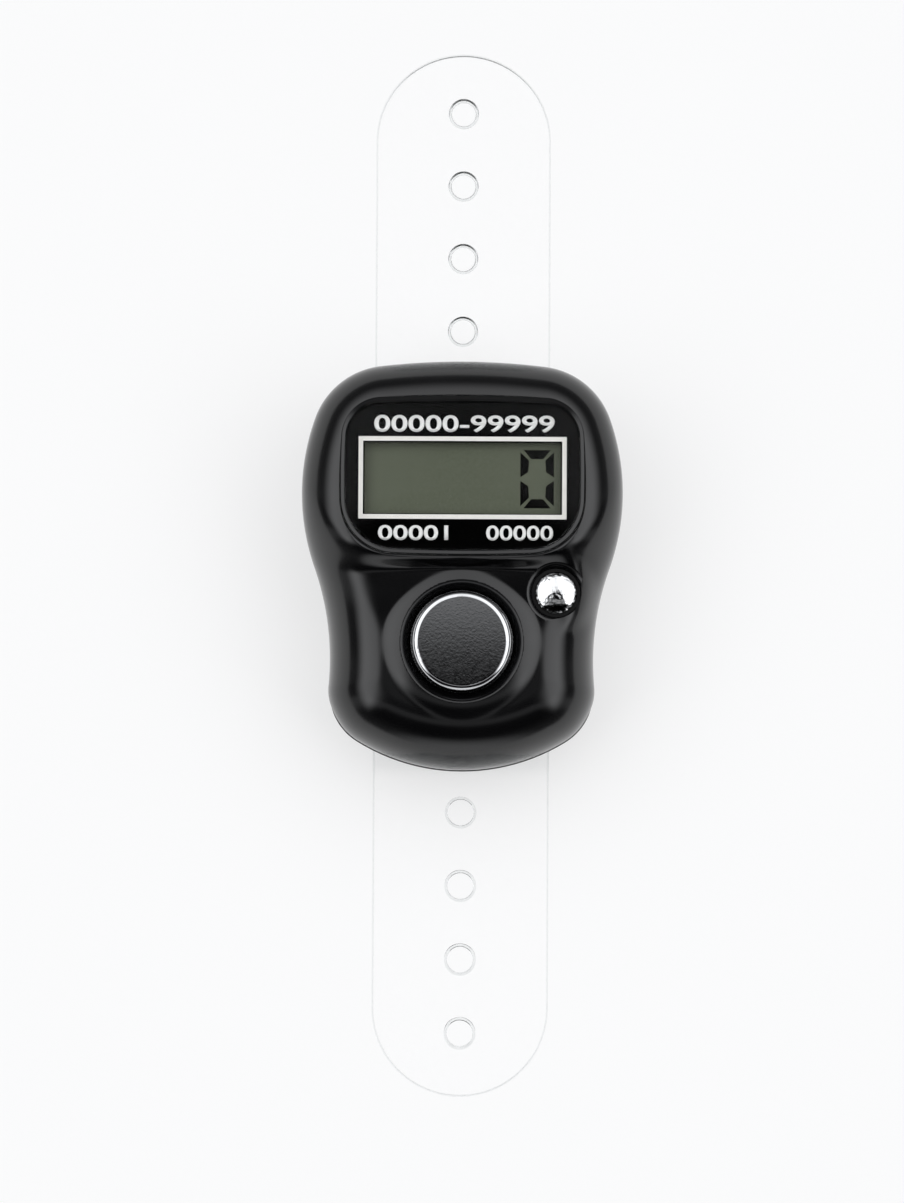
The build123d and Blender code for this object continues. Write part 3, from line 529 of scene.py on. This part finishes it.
# %% Shell mesh
SKIN_INSET = 5.22
TUCK, TUCK_START, TUCK_LENGTH = 0.2, -11.0, 4.0
INNER_LOW_RADIUS = 2.2
SPINE_SHARE, SPINE_LOW, SPINE_HIGH = 0.62, -9.5, 8.5
CAVITY_TOP, WALL, INNER_SHOULDER = 11.7, 1.4, 2.4
# The eased lower edge, as insets and rises over the parting, and the rows of points on each part of the skin.
RIM_INSET, RIM_RISE = np.array([0.14, 0.05, 0.0]), np.array([0.0, 0.04, 0.14])
WALL_ROWS, SHOULDER_ROWS, MIDDLE_ROWS, INNER_ROWS, ROOF_ROWS = 7, 38, 62, 9, 5
tuck = TUCK * ease((TUCK_START - edge_points[:, 1]) / TUCK_LENGTH)


def inset_ring(inset):
    """Plan points at each inset from the casing's edge: one row for each inset. At the lower end the shell is
    tucked in a little, where the rear shell stands proud of it."""
    return edge_points[None] - edge_out[None] * (np.asarray(inset, float)[:, None] + tuck)[..., None]


low_inner = meet(button_centre, BUTTON_END_RADIUS - SKIN_INSET - TUCK - INNER_LOW_RADIUS, waist_centre,
                 waist_radius + SKIN_INSET + INNER_LOW_RADIUS)
crest_arcs = [(end_centre, END_RADIUS - SKIN_INSET, 1), (corner_centre, CORNER_RADIUS - SKIN_INSET, 1),
              (side_centre, SIDE_RADIUS - SKIN_INSET, 1), (waist_centre, waist_radius + SKIN_INSET, -1),
              (low_inner, INNER_LOW_RADIUS, 1), (button_centre, BUTTON_END_RADIUS - SKIN_INSET - TUCK, 1)]
crest_points = arc_outline(crest_arcs, (0, HALF_LENGTH - SKIN_INSET), (0, SKIN_INSET + TUCK - HALF_LENGTH),
                           RING_POINTS, edge_pace)[0]
turn = np.linspace(0, np.pi / 2, SHOULDER_ROWS)
inset = SKIN_INSET * (1 - np.cos(turn))
inner_share = (inset / SKIN_INSET)[:, None, None]
shoulder_plan = inset_ring([0.0]) * (1 - inner_share) + crest_points * inner_share
shoulder_z = skin_height(shoulder_plan[..., 0], shoulder_plan[..., 1], inset[:, None])
rim_plan = inset_ring(RIM_INSET)
rim_z = (PARTING + RIM_RISE)[:, None] * np.ones(len(edge_points))
climb = np.linspace(0, 1, WALL_ROWS)[1:-1, None]
wall_z = rim_z[-1] + climb * (shoulder_z[0] - rim_z[-1])
wall_plan = np.repeat(shoulder_plan[:1], len(climb), 0)
last = shoulder_plan[-1]
spine = np.stack([np.zeros(len(last)), np.clip(SPINE_SHARE * last[:, 1], SPINE_LOW, SPINE_HIGH)], -1)
inward = np.linspace(0, 1, MIDDLE_ROWS)[1:, None, None]
middle_plan = last + inward * (spine - last)
middle_z = skin_height(middle_plan[..., 0], middle_plan[..., 1], SKIN_INSET)
inner_turn = np.linspace(0, np.pi / 2, INNER_ROWS)
inner_inset = WALL + INNER_SHOULDER * (1 - np.cos(inner_turn))
inner_plan = inset_ring(inner_inset)
inner_z = (CAVITY_TOP - INNER_SHOULDER * (1 - np.sin(inner_turn)))[:, None] * np.ones(len(edge_points))
to_spine = np.linspace(0, 1, ROOF_ROWS)[1:, None, None]
roof_plan = inner_plan[-1] + to_spine * (spine - inner_plan[-1])
roof_z = np.full(roof_plan.shape[:2], CAVITY_TOP)
inner_rim_z = np.full((1, len(edge_points)), PARTING)
plan = np.concatenate([roof_plan[::-1], inner_plan[::-1], inner_plan[:1], rim_plan, wall_plan, shoulder_plan,
                       middle_plan])
level = np.concatenate([roof_z[::-1], inner_z[::-1], inner_rim_z, rim_z, wall_z, shoulder_z, middle_z])
points = np.concatenate([plan, level[..., None]], -1)
shell = mesh_piece("front_shell_skin", points.reshape(-1, 3), grid_faces(*level.shape))
print("skin before cutting:", count_triangles(shell), "triangles")

# %% [markdown]
# The shell's openings are cut with turned or stacked plugs: the window with its seat and rounded lip, the
# funnel and bore of the count key, the recess of the reset key. Bosses for the screws hang from the roof.

# %% Window outline
WINDOW_PLACE_Y = 8.2
WINDOW_HALF_WIDTH, WINDOW_HALF_HEIGHT = 10.8, 6.85
WINDOW_CROWN, WINDOW_BULGE = 0.35, 0.25
WINDOW_TOP_RADIUS, WINDOW_LOW_RADIUS = 3.2, 4.6


def sagitta_radius(half_chord, rise):
    """Radius of an arc from half of its chord and its rise."""
    return (half_chord ** 2 + rise ** 2) / (2 * rise)


def window_outline(count=180):
    """The window's plan outline and outward directions: bowed ends and sides joined by corner arcs."""
    end = sagitta_radius(WINDOW_HALF_WIDTH - WINDOW_BULGE, WINDOW_CROWN)
    side = sagitta_radius(WINDOW_HALF_HEIGHT - WINDOW_CROWN, WINDOW_BULGE)
    top_centre, low_middle = (0, WINDOW_HALF_HEIGHT - end), (0, end - WINDOW_HALF_HEIGHT)
    side_middle = (WINDOW_HALF_WIDTH - side, 0)
    top_corner = meet(top_centre, end - WINDOW_TOP_RADIUS, side_middle, side - WINDOW_TOP_RADIUS)
    low_corner = meet(side_middle, side - WINDOW_LOW_RADIUS, low_middle, end - WINDOW_LOW_RADIUS)
    arcs = [(top_centre, end, 1), (top_corner, WINDOW_TOP_RADIUS, 1), (side_middle, side, 1),
            (low_corner, WINDOW_LOW_RADIUS, 1), (low_middle, end, 1)]
    points, outward, _ = arc_outline(arcs, (0, WINDOW_HALF_HEIGHT), (0, -WINDOW_HALF_HEIGHT), count)
    return points + np.array([0, WINDOW_PLACE_Y]), outward


def stack(name, outline, outward, profile):
    """A solid from an outline: each (grow, height) of the profile is a ring, closed to the middle at both ends."""
    grow, height = np.asarray(profile, float).T
    rings = outline[None] + outward[None] * grow[:, None, None]
    middle = np.broadcast_to(outline.mean(0), (1, *outline.shape))
    plan = np.concatenate([middle, rings, middle])
    level = np.concatenate([height[:1], height, height[-1:]])[:, None] * np.ones(len(outline))
    points = np.concatenate([plan, level[..., None]], -1)
    return mesh_piece(name, points.reshape(-1, 3), grid_faces(*level.shape))


window_points, window_out = window_outline()
print("window in mm:", np.round(np.ptp(window_points, axis=0), 2))

# %% Plugs
# Sections of the openings, in millimetres: growth past the window's outline or radius, and height.
PLUG_LOW, PLUG_HIGH = 5.0, 17.0
WINDOW_SEAT, SEAT_LEDGE = 12.9, 0.9
lip = [(0.05, 14.18), (0.07, 14.25), (0.12, 14.31), (0.19, 14.34), (0.40, 14.36), (0.44, 14.38), (0.46, 14.42),
       (0.48, 14.52), (0.52, 14.62), (0.60, 14.72), (0.70, 14.79), (0.82, 14.84), (0.96, 14.87), (1.1, 14.89)]
opening = [(-SEAT_LEDGE, PLUG_LOW), (-SEAT_LEDGE, WINDOW_SEAT), (lip[0][0], WINDOW_SEAT)] + lip
opening += [(lip[-1][0], PLUG_HIGH)]
window_plug = stack("plug", window_points, window_out, opening)
funnel = [(0, PLUG_LOW), (4.75, PLUG_LOW), (4.75, 12.3), (4.95, 12.7), (5.28, 13.12), (5.42, 13.27),
          (5.56, 13.35), (5.72, 13.393), (5.82, 13.43), (5.82, PLUG_HIGH), (0, PLUG_HIGH)]
recess = [(0, PLUG_LOW), (1.87, PLUG_LOW), (1.87, 12.05), (1.95, 12.15), (2.25, 12.15), (2.33, 12.22),
          (2.35, 12.45), (2.36, 12.62), (2.41, 12.74), (2.50, 12.83), (2.62, 12.885), (2.72, 12.91), (2.78, 13.0),
          (2.82, PLUG_HIGH), (0, PLUG_HIGH)]
POCKET_TOP = 12.3
pocket = np.array([(-10.3, 1.7), (10.3, 1.7), (10.3, 13.7), (-10.3, 13.7)])
print("openings: window, funnel, recess, and a pocket of", np.round(np.ptp(pocket, axis=0), 2), "mm")

# %% Bosses and cutting
# Each boss or screw hole is a radius, a lower end and an upper end in millimetres.
CASE_SCREWS = ((-11.9, 6.5), (11.9, 6.5))
BOARD_SCREWS = ((0, 15.2), (6.6, -13.2), (-6.6, -13.2))
CASE_BOSS, CASE_HOLE = (1.6, 6.05, 12.3), (0.82, PLUG_LOW, 10.65)
UPPER_BOSS, LOWER_BOSS, BOARD_HOLE = (1.46, 9.4, 12.35), (1.46, 9.4, 11.74), (0.72, 8.0, 11.9)
CASE_BOSS_SIDES, BOARD_BOSS_SIDES, HOLE_SIDES, FUNNEL_SIDES = 40, 41, 32, 144
SHELL_CREASE = 40


def rod(radius, low, high, place, sides):
    """An upright round tool."""
    return revolve("rod", [(0, low), (radius, low), (radius, high), (0, high)], place, sides)


def gather(tools):
    """Puts several tools that don't touch into one mesh, so that they cut together."""
    work = bmesh.new()
    for tool in tools:
        work.from_mesh(tool.data)
        bpy.data.objects.remove(tool)
    mesh = bpy.data.meshes.new("tools")
    work.to_mesh(mesh)
    work.free()
    return as_piece("tools", mesh)


bosses = [rod(*CASE_BOSS, place, CASE_BOSS_SIDES) for place in CASE_SCREWS]
bosses += [rod(*boss, place, BOARD_BOSS_SIDES)
           for boss, place in zip((UPPER_BOSS, LOWER_BOSS, LOWER_BOSS), BOARD_SCREWS)]
holes = [rod(*CASE_HOLE, place, HOLE_SIDES) for place in CASE_SCREWS]
holes += [rod(*BOARD_HOLE, place, HOLE_SIDES) for place in BOARD_SCREWS]
holes += [revolve("funnel", funnel, COUNT_PLACE, FUNNEL_SIDES), revolve("recess", recess, RESET_PLACE)]
combine(shell, gather(bosses), "UNION")
combine(shell, gather(holes), "DIFFERENCE")
combine(shell, window_plug, "DIFFERENCE")
combine(shell, plate("pocket", [pocket], PLUG_LOW, POCKET_TOP), "DIFFERENCE")
smooth(shell, SHELL_CREASE)
shell.data.materials.clear()
shell.data.materials.append(polished_abs)
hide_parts("front_shell")
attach(shell, "casing")
print("skin after cutting:", count_triangles(shell), "triangles")

# %% [markdown]
# The clear panel drops into the seat. Its upper edge is eased, and an air film of a few hundredths of a
# millimetre lies between it and the printed film behind it, as there always is where two flat faces meet.

# %% Window panel
PANEL_LOW, PANEL_HIGH, PANEL_BEVEL, PANEL_EDGE = 13.09, 14.15, 0.03, 0.15
ease_turn = np.radians([0, 22, 45, 68, 90])
panel = [(-PANEL_BEVEL, PANEL_LOW), (0.0, PANEL_LOW + PANEL_BEVEL)]
panel += [(-PANEL_EDGE * (1 - np.cos(a)), PANEL_HIGH - PANEL_EDGE * (1 - np.sin(a))) for a in ease_turn]
window_panel = smooth(stack("window_panel", window_points, window_out, panel), angle=30)
window_panel.data.materials.append(acrylic)
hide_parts("display_window")
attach(window_panel, "casing")
print("window panel:", count_triangles(window_panel), "triangles")

# %% [markdown]
# ## The strap
# The strap is one moulding of clear soft rubber: flat under the body, a gentle step down at each loop, and a
# flat tail with a round tip. It is worked out flat first, as rings that run round the edge from the middle of
# the underside to the middle of the upper side. Then every point is carried onto the strap's line in the y-z
# plane, so that the thickness stays the same through the step.

# %% Strap shape
STRAP_HALF_WIDTH, STRAP_END = 8.4, 50.0
STRAP_THICKNESS, STRAP_EDGE = 1.2, 0.3
SEAM_Y, SPINE_START = 13.0, 1.0
STEP_START, STEP_END = 15.1, 20.9
SADDLE_MIDDLE, TAIL_MIDDLE = 2.3, 0.6
EDGE_ROWS, SIDE_COLUMNS, TIP_COLUMNS, SEAM_COLUMNS, SADDLE_ROWS = 7, 90, 73, 41, 53
INNER_SHARES = np.array([0.0, 0.25, 0.5, 0.75])
STRAP_MERGE = 0.004


def strap_line(y):
    """Height of the strap's middle and its slope: level, then a step down by the fifth-power smooth step."""
    t = np.clip((y - STEP_START) / (STEP_END - STEP_START), 0, 1)
    slope = 30 * t ** 2 * (1 - t) ** 2 / (STEP_END - STEP_START)
    fall = SADDLE_MIDDLE - TAIL_MIDDLE
    return SADDLE_MIDDLE - fall * ease(t), -fall * slope


def edge_rings():
    """Inset from the edge and height over the middle, from the underside round the edge to the upper side."""
    turn = np.linspace(0, np.pi / 2, EDGE_ROWS)
    low_inset = STRAP_EDGE * (1 - np.sin(turn))
    low_height = -STRAP_THICKNESS / 2 + STRAP_EDGE * (1 - np.cos(turn))
    return np.concatenate([low_inset, low_inset[::-1]]), np.concatenate([low_height, -low_height[::-1]])


def strap_half(name):
    """Half of the strap, seam to tip: rings at each inset, closed on both faces to a middle line that starts a
    little way in from the seam."""
    tip_centre = STRAP_END - STRAP_HALF_WIDTH
    side_y = np.linspace(SEAM_Y, tip_centre, SIDE_COLUMNS)
    tip_angle = np.linspace(0, np.pi, TIP_COLUMNS)[1:-1]
    seam_x = np.linspace(-1, 1, SEAM_COLUMNS)[1:-1]
    inset, height = edge_rings()
    reach = STRAP_HALF_WIDTH - inset[:, None]
    x = np.concatenate([reach * np.ones_like(side_y), reach * np.cos(tip_angle), -reach * np.ones_like(side_y),
                        reach * seam_x], axis=1)
    y = np.concatenate([np.tile(side_y, (len(inset), 1)), tip_centre + reach * np.sin(tip_angle),
                        np.tile(side_y[::-1], (len(inset), 1)), np.full((len(inset), len(seam_x)), SEAM_Y)], axis=1)
    z = np.repeat(height[:, None], x.shape[1], axis=1)
    spine_y = np.clip(y[:1], SEAM_Y + SPINE_START, tip_centre)
    share = INNER_SHARES[:, None]
    x = np.concatenate([share * x[:1], x, share[::-1] * x[-1:]])
    y = np.concatenate([spine_y + share * (y[:1] - spine_y), y, spine_y + share[::-1] * (y[-1:] - spine_y)])
    z = np.concatenate([np.repeat(z[:1], len(share), 0), z, np.repeat(z[-1:], len(share), 0)])
    points = np.stack([x, y, z], -1)
    return mesh_piece(name, points.reshape(-1, 3), grid_faces(*x.shape), merge=STRAP_MERGE)


def lay_on_line(piece, direction):
    """Carries flat points onto the strap's line; direction is 1 for the upper half and -1 for the lower half."""
    flat = np.empty(len(piece.data.vertices) * 3)
    piece.data.vertices.foreach_get("co", flat)
    x, y, t = (flat.reshape(-1, 3) / MM).T
    middle, slope = strap_line(y)
    length = np.sqrt(1 + slope ** 2)
    lifted_y = y - t * slope / length
    lifted_z = middle + t / length
    points = np.stack([direction * x, direction * lifted_y, lifted_z], -1) * MM
    piece.data.vertices.foreach_set("co", points.ravel())
    piece.data.update()
    return piece


print("strap in mm:", 2 * STRAP_HALF_WIDTH, "x", 2 * STRAP_END, "x", STRAP_THICKNESS)

# %% [markdown]
# The upper tail has four studs shaped like mushrooms, and the lower tail four holes with eased edges that they
# press into. A stud is a turned profile that is joined on; a hole is a turned plug that is cut out.

# %% Studs, holes and the three strap pieces
# Sections of a stud and of a hole's plug: radius, and height over the middle of the strap, in millimetres.
STUD_PLACES = (44.0, 37.0, 30.0, 23.0)
STUD_SIDES = 64
HALF_THICK = STRAP_THICKNESS / 2
stud_profile = [(0, 0.2), (1.75, 0.2), (1.75, HALF_THICK - 0.02), (1.5, HALF_THICK + 0.03),
                (1.28, HALF_THICK + 0.13), (1.16, HALF_THICK + 0.32), (1.15, 1.3), (1.22, 1.36), (1.40, 1.46),
                (1.45, 1.58), (1.44, 1.74), (1.36, 1.92), (1.20, 2.05), (0.95, 2.13), (0.5, 2.18), (0, 2.2)]
hole_profile = [(0, -1.2), (1.53, -1.2), (1.53, -0.62), (1.46, -0.54), (1.34, -0.42), (1.25, -0.34),
                (1.23, -0.25), (1.23, 0.25), (1.25, 0.34), (1.34, 0.42), (1.46, 0.54), (1.53, 0.62), (1.53, 1.2),
                (0, 1.2)]
upper_strap = strap_half("strap_upper")
lower_strap = strap_half("strap_lower")
for place in STUD_PLACES:
    combine(upper_strap, revolve("stud", stud_profile, (0, place), STUD_SIDES), "UNION")
    combine(lower_strap, revolve("plug", hole_profile, (0, place), STUD_SIDES), "DIFFERENCE")
smooth(lay_on_line(upper_strap, 1))
smooth(lay_on_line(lower_strap, -1))
print("strap halves:", count_triangles(upper_strap), count_triangles(lower_strap), "triangles")

# %% Middle of the strap
inset, height = edge_rings()
reach = STRAP_HALF_WIDTH - inset
outline_x = np.concatenate([reach, -reach[::-1]])
outline_z = SADDLE_MIDDLE + np.concatenate([height, height[::-1]])
along = np.linspace(-SEAM_Y, SEAM_Y, SADDLE_ROWS)
tube = np.stack(np.broadcast_arrays(outline_x, along[:, None], outline_z), -1)
ends = np.tile((0, SEAM_Y, SADDLE_MIDDLE), (1, len(outline_x), 1))
tube = np.concatenate([ends * (1, -1, 1), tube, ends])
saddle = smooth(mesh_piece("strap_under_body", tube.reshape(-1, 3), grid_faces(*tube.shape[:2])))
print("strap under the body:", count_triangles(saddle), "triangles")

# %% [markdown]
# Clear thermoplastic rubber bends light a little less than glass does, and its moulded skin is satin rather
# than polished. On white paper only its edges show, as thin grey lines.

# %% Strap finish
clear_rubber = finish("clear_soft_rubber", "#E3E6E6", "#EAECEC", patch=7, rough=(0.06, 0.12), grain=1.5,
                      relief=0.003, IOR=1.4, clear=True, veil=0.3)
for piece in (upper_strap, lower_strap, saddle):
    piece.data.materials.clear()
    piece.data.materials.append(clear_rubber)
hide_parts("strap_saddle")
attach(saddle, "casing")
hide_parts("strap_upper_bend", "strap_stud_tail")
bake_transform(upper_strap)
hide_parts("strap_lower_bend", "strap_hole_tail")
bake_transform(lower_strap)
print("strap finished:", clear_rubber.name)

# %% [markdown]
# ## Rubber domes
# Under each key sits a silicone dome: a foot ring on the board, a thin sloping skirt, and a crown that lifts
# the key. Pressing folds the skirt. The section is a closed line with eased corners, turned once round.

# %% Domes
BOARD_TOP = 9.4


def dome(name, centre, foot, crown, crown_top, pill_top, skin=0.35, base=0.4):
    """Half section of a dome: foot, skirt, crown, and back down inside."""
    profile = [(0, crown_top), (crown - 0.2, crown_top), (crown - 0.05, crown_top - 0.06),
               (crown + 0.1, crown_top - 0.25), (foot - 0.25, BOARD_TOP + base + 0.12),
               (foot - 0.05, BOARD_TOP + base - 0.02), (foot, BOARD_TOP + base - 0.12), (foot, BOARD_TOP),
               (foot - 2 * skin, BOARD_TOP), (foot - 2 * skin, BOARD_TOP + base),
               (crown - skin, pill_top), (0, pill_top)]
    return smooth(revolve(name, profile, centre))


silicone = finish("translucent_silicone", "#C9CCCB", "#D8DAD9", patch=1.5, rough=(0.45, 0.55), grain=0.4,
                  relief=0.006, IOR=1.41, Transmission_Weight=0.35)
count_dome = dome("count_return_dome", COUNT_PLACE, foot=3.4, crown=1.7, crown_top=11.6, pill_top=10.9)
reset_dome = dome("reset_return_dome", RESET_PLACE, foot=2.2, crown=1.1, crown_top=10.95, pill_top=10.5)
for piece, node, joint, centre, keep in (
        (count_dome, "count_dome", "count_press", COUNT_PLACE, 0.59),
        (reset_dome, "reset_dome", "reset_press", RESET_PLACE, 0.55)):
    piece.data.materials.append(silicone)
    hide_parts(node)
    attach(piece, "casing")
    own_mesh(piece)
print("domes:", count_triangles(count_dome), count_triangles(reset_dome), "triangles")

# %% [markdown]
# ## The figure on the display
# The display shows one digit: a nought of six dark bars with mitred ends, the middle bar off. The bars are
# flat plates on the polariser, each with four corners and thin as a film.

# %% Digit
DIGIT_WIDTH, DIGIT_HEIGHT = 3.1, 5.4
DIGIT_RIGHT, DIGIT_MIDDLE_Y = 8.45, 8.02
FILM_TOP, FILM = 12.2, 0.012
half_w, half_h = DIGIT_WIDTH / 2, DIGIT_HEIGHT / 2
# Corners of the upper and the upper right bar from the digit's middle, in mm; the others are mirror images.
top_bar = np.array([(0.30 - half_w, half_h), (half_w - 0.30, half_h), (half_w - 1.0, half_h - 0.84),
                    (1.0 - half_w, half_h - 0.84)])
side_bar = np.array([(half_w, half_h - 0.21), (half_w, 0.17), (half_w - 0.73, 0.66),
                     (half_w - 0.80, half_h - 0.97)])
centre = np.array([DIGIT_RIGHT - half_w, DIGIT_MIDDLE_Y])
bars = [top_bar * flip + centre for flip in ((1, 1), (1, -1))]
bars += [side_bar * flip + centre for flip in ((1, 1), (-1, -1), (-1, 1), (1, -1))]
digit = plate("display_nought", bars, FILM_TOP, FILM_TOP + FILM)
segment_ink = finish("dark_liquid_crystal", "#050505", "#0A0A09", patch=0.3, rough=(0.4, 0.5), grain=0.1,
                     relief=0.002, Specular_IOR_Level=0.0)
digit.data.materials.append(segment_ink)
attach(digit, "casing")
print("digit bars:", len(bars))

# %% [markdown]
# Just inside the silver line, thin strips in the printed film's black are laid as painted shade: the shadow that
# the window's edge throws onto the display, narrower along the bottom.

# %% Painted shade inside the opening
# The silver line's width, and the width of the black strips of painted shade inside it, in mm; the lowest strip is
# half as wide.
BORDER_LINE, SHADE_STRIP = 0.42, 0.14
border_low, border_high = np.array(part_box("silver_border")) / MM
view = np.array([border_low[:2] + BORDER_LINE, border_high[:2] - BORDER_LINE])
(left, low), (right, high) = view
shade_bars = [[(a, b), (c, b), (c, d), (a, d)] for a, b, c, d in (
    (left, low, left + SHADE_STRIP, high), (right - SHADE_STRIP, low, right, high),
    (left + SHADE_STRIP, low, right - SHADE_STRIP, low + SHADE_STRIP / 2), (left + SHADE_STRIP, high - SHADE_STRIP, right - SHADE_STRIP, high))]
# The strips of painted shade take the printed film's black finish.
opening_shade = plate("display_opening_shade", shade_bars, border_low[2], border_high[2])
opening_shade.data.materials.append(mask_film)
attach(opening_shade, "casing")
print("opening in mm:", np.round(view[1] - view[0], 2))

# %% [markdown]
# ## Numbers behind the window
# White ink on the back of the panel gives the range of the counter above the display, and below it what each
# key shows: one step on the left, nought on the right. Blender's own letters are turned into thin meshes.

# %% Printed numbers
MARK_LOW, MARK_HIGH = 13.052, 13.06
LETTER_WEIGHT, LETTER_STEPS = 0.018, 6


def print_number(name, text, left, right, low, high):
    """Text scaled to fill a box in the plan, made a mesh, and laid on the mask."""
    curve = bpy.data.curves.new(name, "FONT")
    curve.body = text
    curve.offset = LETTER_WEIGHT
    curve.resolution_u = LETTER_STEPS
    maker = as_piece(name, curve)
    bpy.context.view_layer.update()
    mesh = bpy.data.meshes.new_from_object(maker.evaluated_get(bpy.context.evaluated_depsgraph_get()))
    bpy.data.objects.remove(maker)
    flat = np.empty(len(mesh.vertices) * 3)
    mesh.vertices.foreach_get("co", flat)
    flat = flat.reshape(-1, 3)
    share = (flat - flat.min(0))[:, :2] / np.ptp(flat, axis=0)[:2]
    x = left + share[:, 0] * (right - left)
    y = low + share[:, 1] * (high - low)
    mesh.vertices.foreach_set("co", (np.column_stack([x, y, np.full(len(x), MARK_LOW)]) * MM).ravel())
    piece = as_piece(name, mesh)
    wall = piece.modifiers.new("film", "SOLIDIFY")
    wall.thickness = (MARK_HIGH - MARK_LOW) * MM
    wall.offset = 1
    return piece


white_ink = finish("white_printing_ink", "#F0F0EE", "#FAFAF8", patch=0.5, rough=(0.4, 0.5), grain=0.06,
                   relief=0.002)
# Each number has a box in millimetres: left, right, low and high.
for name, text, box in (("print_range", "00000-99999", (-8.2, 8.5, 12.25, 13.85)),
                        ("print_step", "00001", (-7.8, -1.3, 2.25, 3.65)),
                        ("print_nought", "00000", (2.2, 8.4, 2.25, 3.65))):
    piece = print_number(name, text, *box)
    piece.data.materials.append(white_ink)
    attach(piece, "casing")
    print(name, "shows", text)

# %% [markdown]
# ## Floor, light and camera
# The counter lies on white paper in a light tent that is dark straight overhead and towards the near side, so
# that flat polished faces stay dark while every rounded shoulder carries a soft bright band. Part of the
# paper's white is its own, which keeps the shadow under the counter pale.

# %% Floor
FLOOR_HALF, FLOOR_LOW, FLOOR_TOP = 3000.0, -20.0, -0.02
PAPER_GLOW = 0.6
corners = FLOOR_HALF * np.array([(-1, -1), (1, -1), (1, 1), (-1, 1)])
floor = plate("paper_floor", [corners], FLOOR_LOW, FLOOR_TOP)
paper = finish("white_paper", "#FAFAFA", "#FDFDFD", patch=40, rough=(0.8, 0.9), grain=0.4, relief=0.004,
               Specular_IOR_Level=0.2)
tree = paper.node_tree
ray = put(tree, "ShaderNodeLightPath").outputs
seen = figure(tree, "MAXIMUM", ray["Is Camera Ray"], ray["Is Glossy Ray"])
seen = figure(tree, "MAXIMUM", seen, ray["Is Transmission Ray"])
share = figure(tree, "MULTIPLY", seen, PAPER_GLOW)
white = put(tree, "ShaderNodeEmission", {"Strength": 1.0}).outputs["Emission"]
lit = tree.nodes["Principled BSDF"].outputs["BSDF"]
blend = put(tree, "ShaderNodeMixShader", {"Fac": share, 1: lit, 2: white}).outputs["Shader"]
tree.links.new(blend, tree.nodes["Material Output"].inputs["Surface"])
floor.data.materials.append(paper)
print("paper floor finished:", paper.name)

# %% [markdown]
# The tent is the world itself. With x to the right and y to the back, its light grows with 1.2|x| + y, so it is
# dark overhead; it fades towards the horizon, where only a faint glow is left. A narrow lamp stands overhead for
# the flat face of the count key, a dim strip on the near side for the rim of that key, and a white card low on
# the near side for the polished key.

# %% Light tent
# Ranges are parts of a direction's x, y or z, from -1 to 1, and levels are strengths of light.
LEAN, SIDE_RANGE, SIDE_LEVEL, SIDE_GAIN = 1.2, (0.08, 0.42), 1.4, 1.1
SKY_RANGE = (0.28, 0.7)
LAMP_START, LAMP_END, LAMP_LEVEL, LAMP_REST = (0.030, 0.052), (0.056, 0.08), 0.26, 0.05
STRIP_START, STRIP_END, STRIP_LEVEL = (-0.27, -0.35), (-0.44, -0.56), 0.36
CARD_RANGE = (-0.88, -1.0)
GLOW_TOP, GLOW_LEVEL = 0.5, 0.14
world = bpy.data.worlds.new("light_tent")
bpy.context.scene.world = world
world.use_nodes = True
tree = world.node_tree
way = put(tree, "ShaderNodeSeparateXYZ", {"Vector": put(tree, "ShaderNodeTexCoord").outputs["Generated"]})
across, along, upward = (way.outputs[axis] for axis in "XYZ")
aside = figure(tree, "ABSOLUTE", across)
lean = figure(tree, "MULTIPLY_ADD", aside, LEAN, along)
level = figure(tree, "MULTIPLY_ADD", aside, SIDE_GAIN, SIDE_LEVEL)
sides = rise(tree, lean, *SIDE_RANGE, end=level)
sky = rise(tree, upward, *SKY_RANGE)
lamp_end = rise(tree, along, *LAMP_END, LAMP_LEVEL, LAMP_REST)
lamp = rise(tree, along, *LAMP_START, end=lamp_end)
strip_end = rise(tree, along, *STRIP_END, STRIP_LEVEL, 0.0)
strip = rise(tree, along, *STRIP_START, end=strip_end)
card = rise(tree, along, *CARD_RANGE)
glow = put(tree, "ShaderNodeMapRange", {"Value": upward, "From Min": 0.0, "From Max": GLOW_TOP,
                                        "To Min": GLOW_LEVEL, "To Max": 0.0}).outputs["Result"]
extra = lamp
for light in (glow, strip, card):
    extra = figure(tree, "ADD", extra, light)
total = figure(tree, "MULTIPLY_ADD", sides, sky, extra)
tree.links.new(total, tree.nodes["Background"].inputs["Strength"])
tree.nodes["Background"].inputs["Color"].default_value = linear("#F7F8FA")
print("light tent with", len(tree.nodes), "nodes")

# %% Camera
CAMERA_TILT, CAMERA_ROLL = np.radians(2.81), np.radians(0.28)
CAMERA_DISTANCE = 0.344
CAMERA_AIM = Vector((-0.00092, -0.00307, 0.006))
FOCAL_PIXELS, LONG_SIDE = 3645, 1203
lens = bpy.data.cameras.new("camera")
lens.sensor_width = 36
lens.lens = FOCAL_PIXELS / LONG_SIDE * lens.sensor_width
lens.clip_start = 0.01
camera = as_piece("camera", lens)
back = Vector((0, -np.sin(CAMERA_TILT), np.cos(CAMERA_TILT)))
right = Vector((1, 0, 0))
up = Vector((0, np.cos(CAMERA_TILT), np.sin(CAMERA_TILT)))
turned_right = right * np.cos(CAMERA_ROLL) + up * np.sin(CAMERA_ROLL)
turned_up = up * np.cos(CAMERA_ROLL) - right * np.sin(CAMERA_ROLL)
turned = Matrix((turned_right, turned_up, back)).transposed().to_4x4()
camera.matrix_world = Matrix.Translation(CAMERA_AIM + back * CAMERA_DISTANCE) @ turned
bpy.context.scene.camera = camera
bpy.context.scene.view_settings.view_transform = "Standard"
print("lens", round(lens.lens, 2), "mm at", CAMERA_DISTANCE, "m")
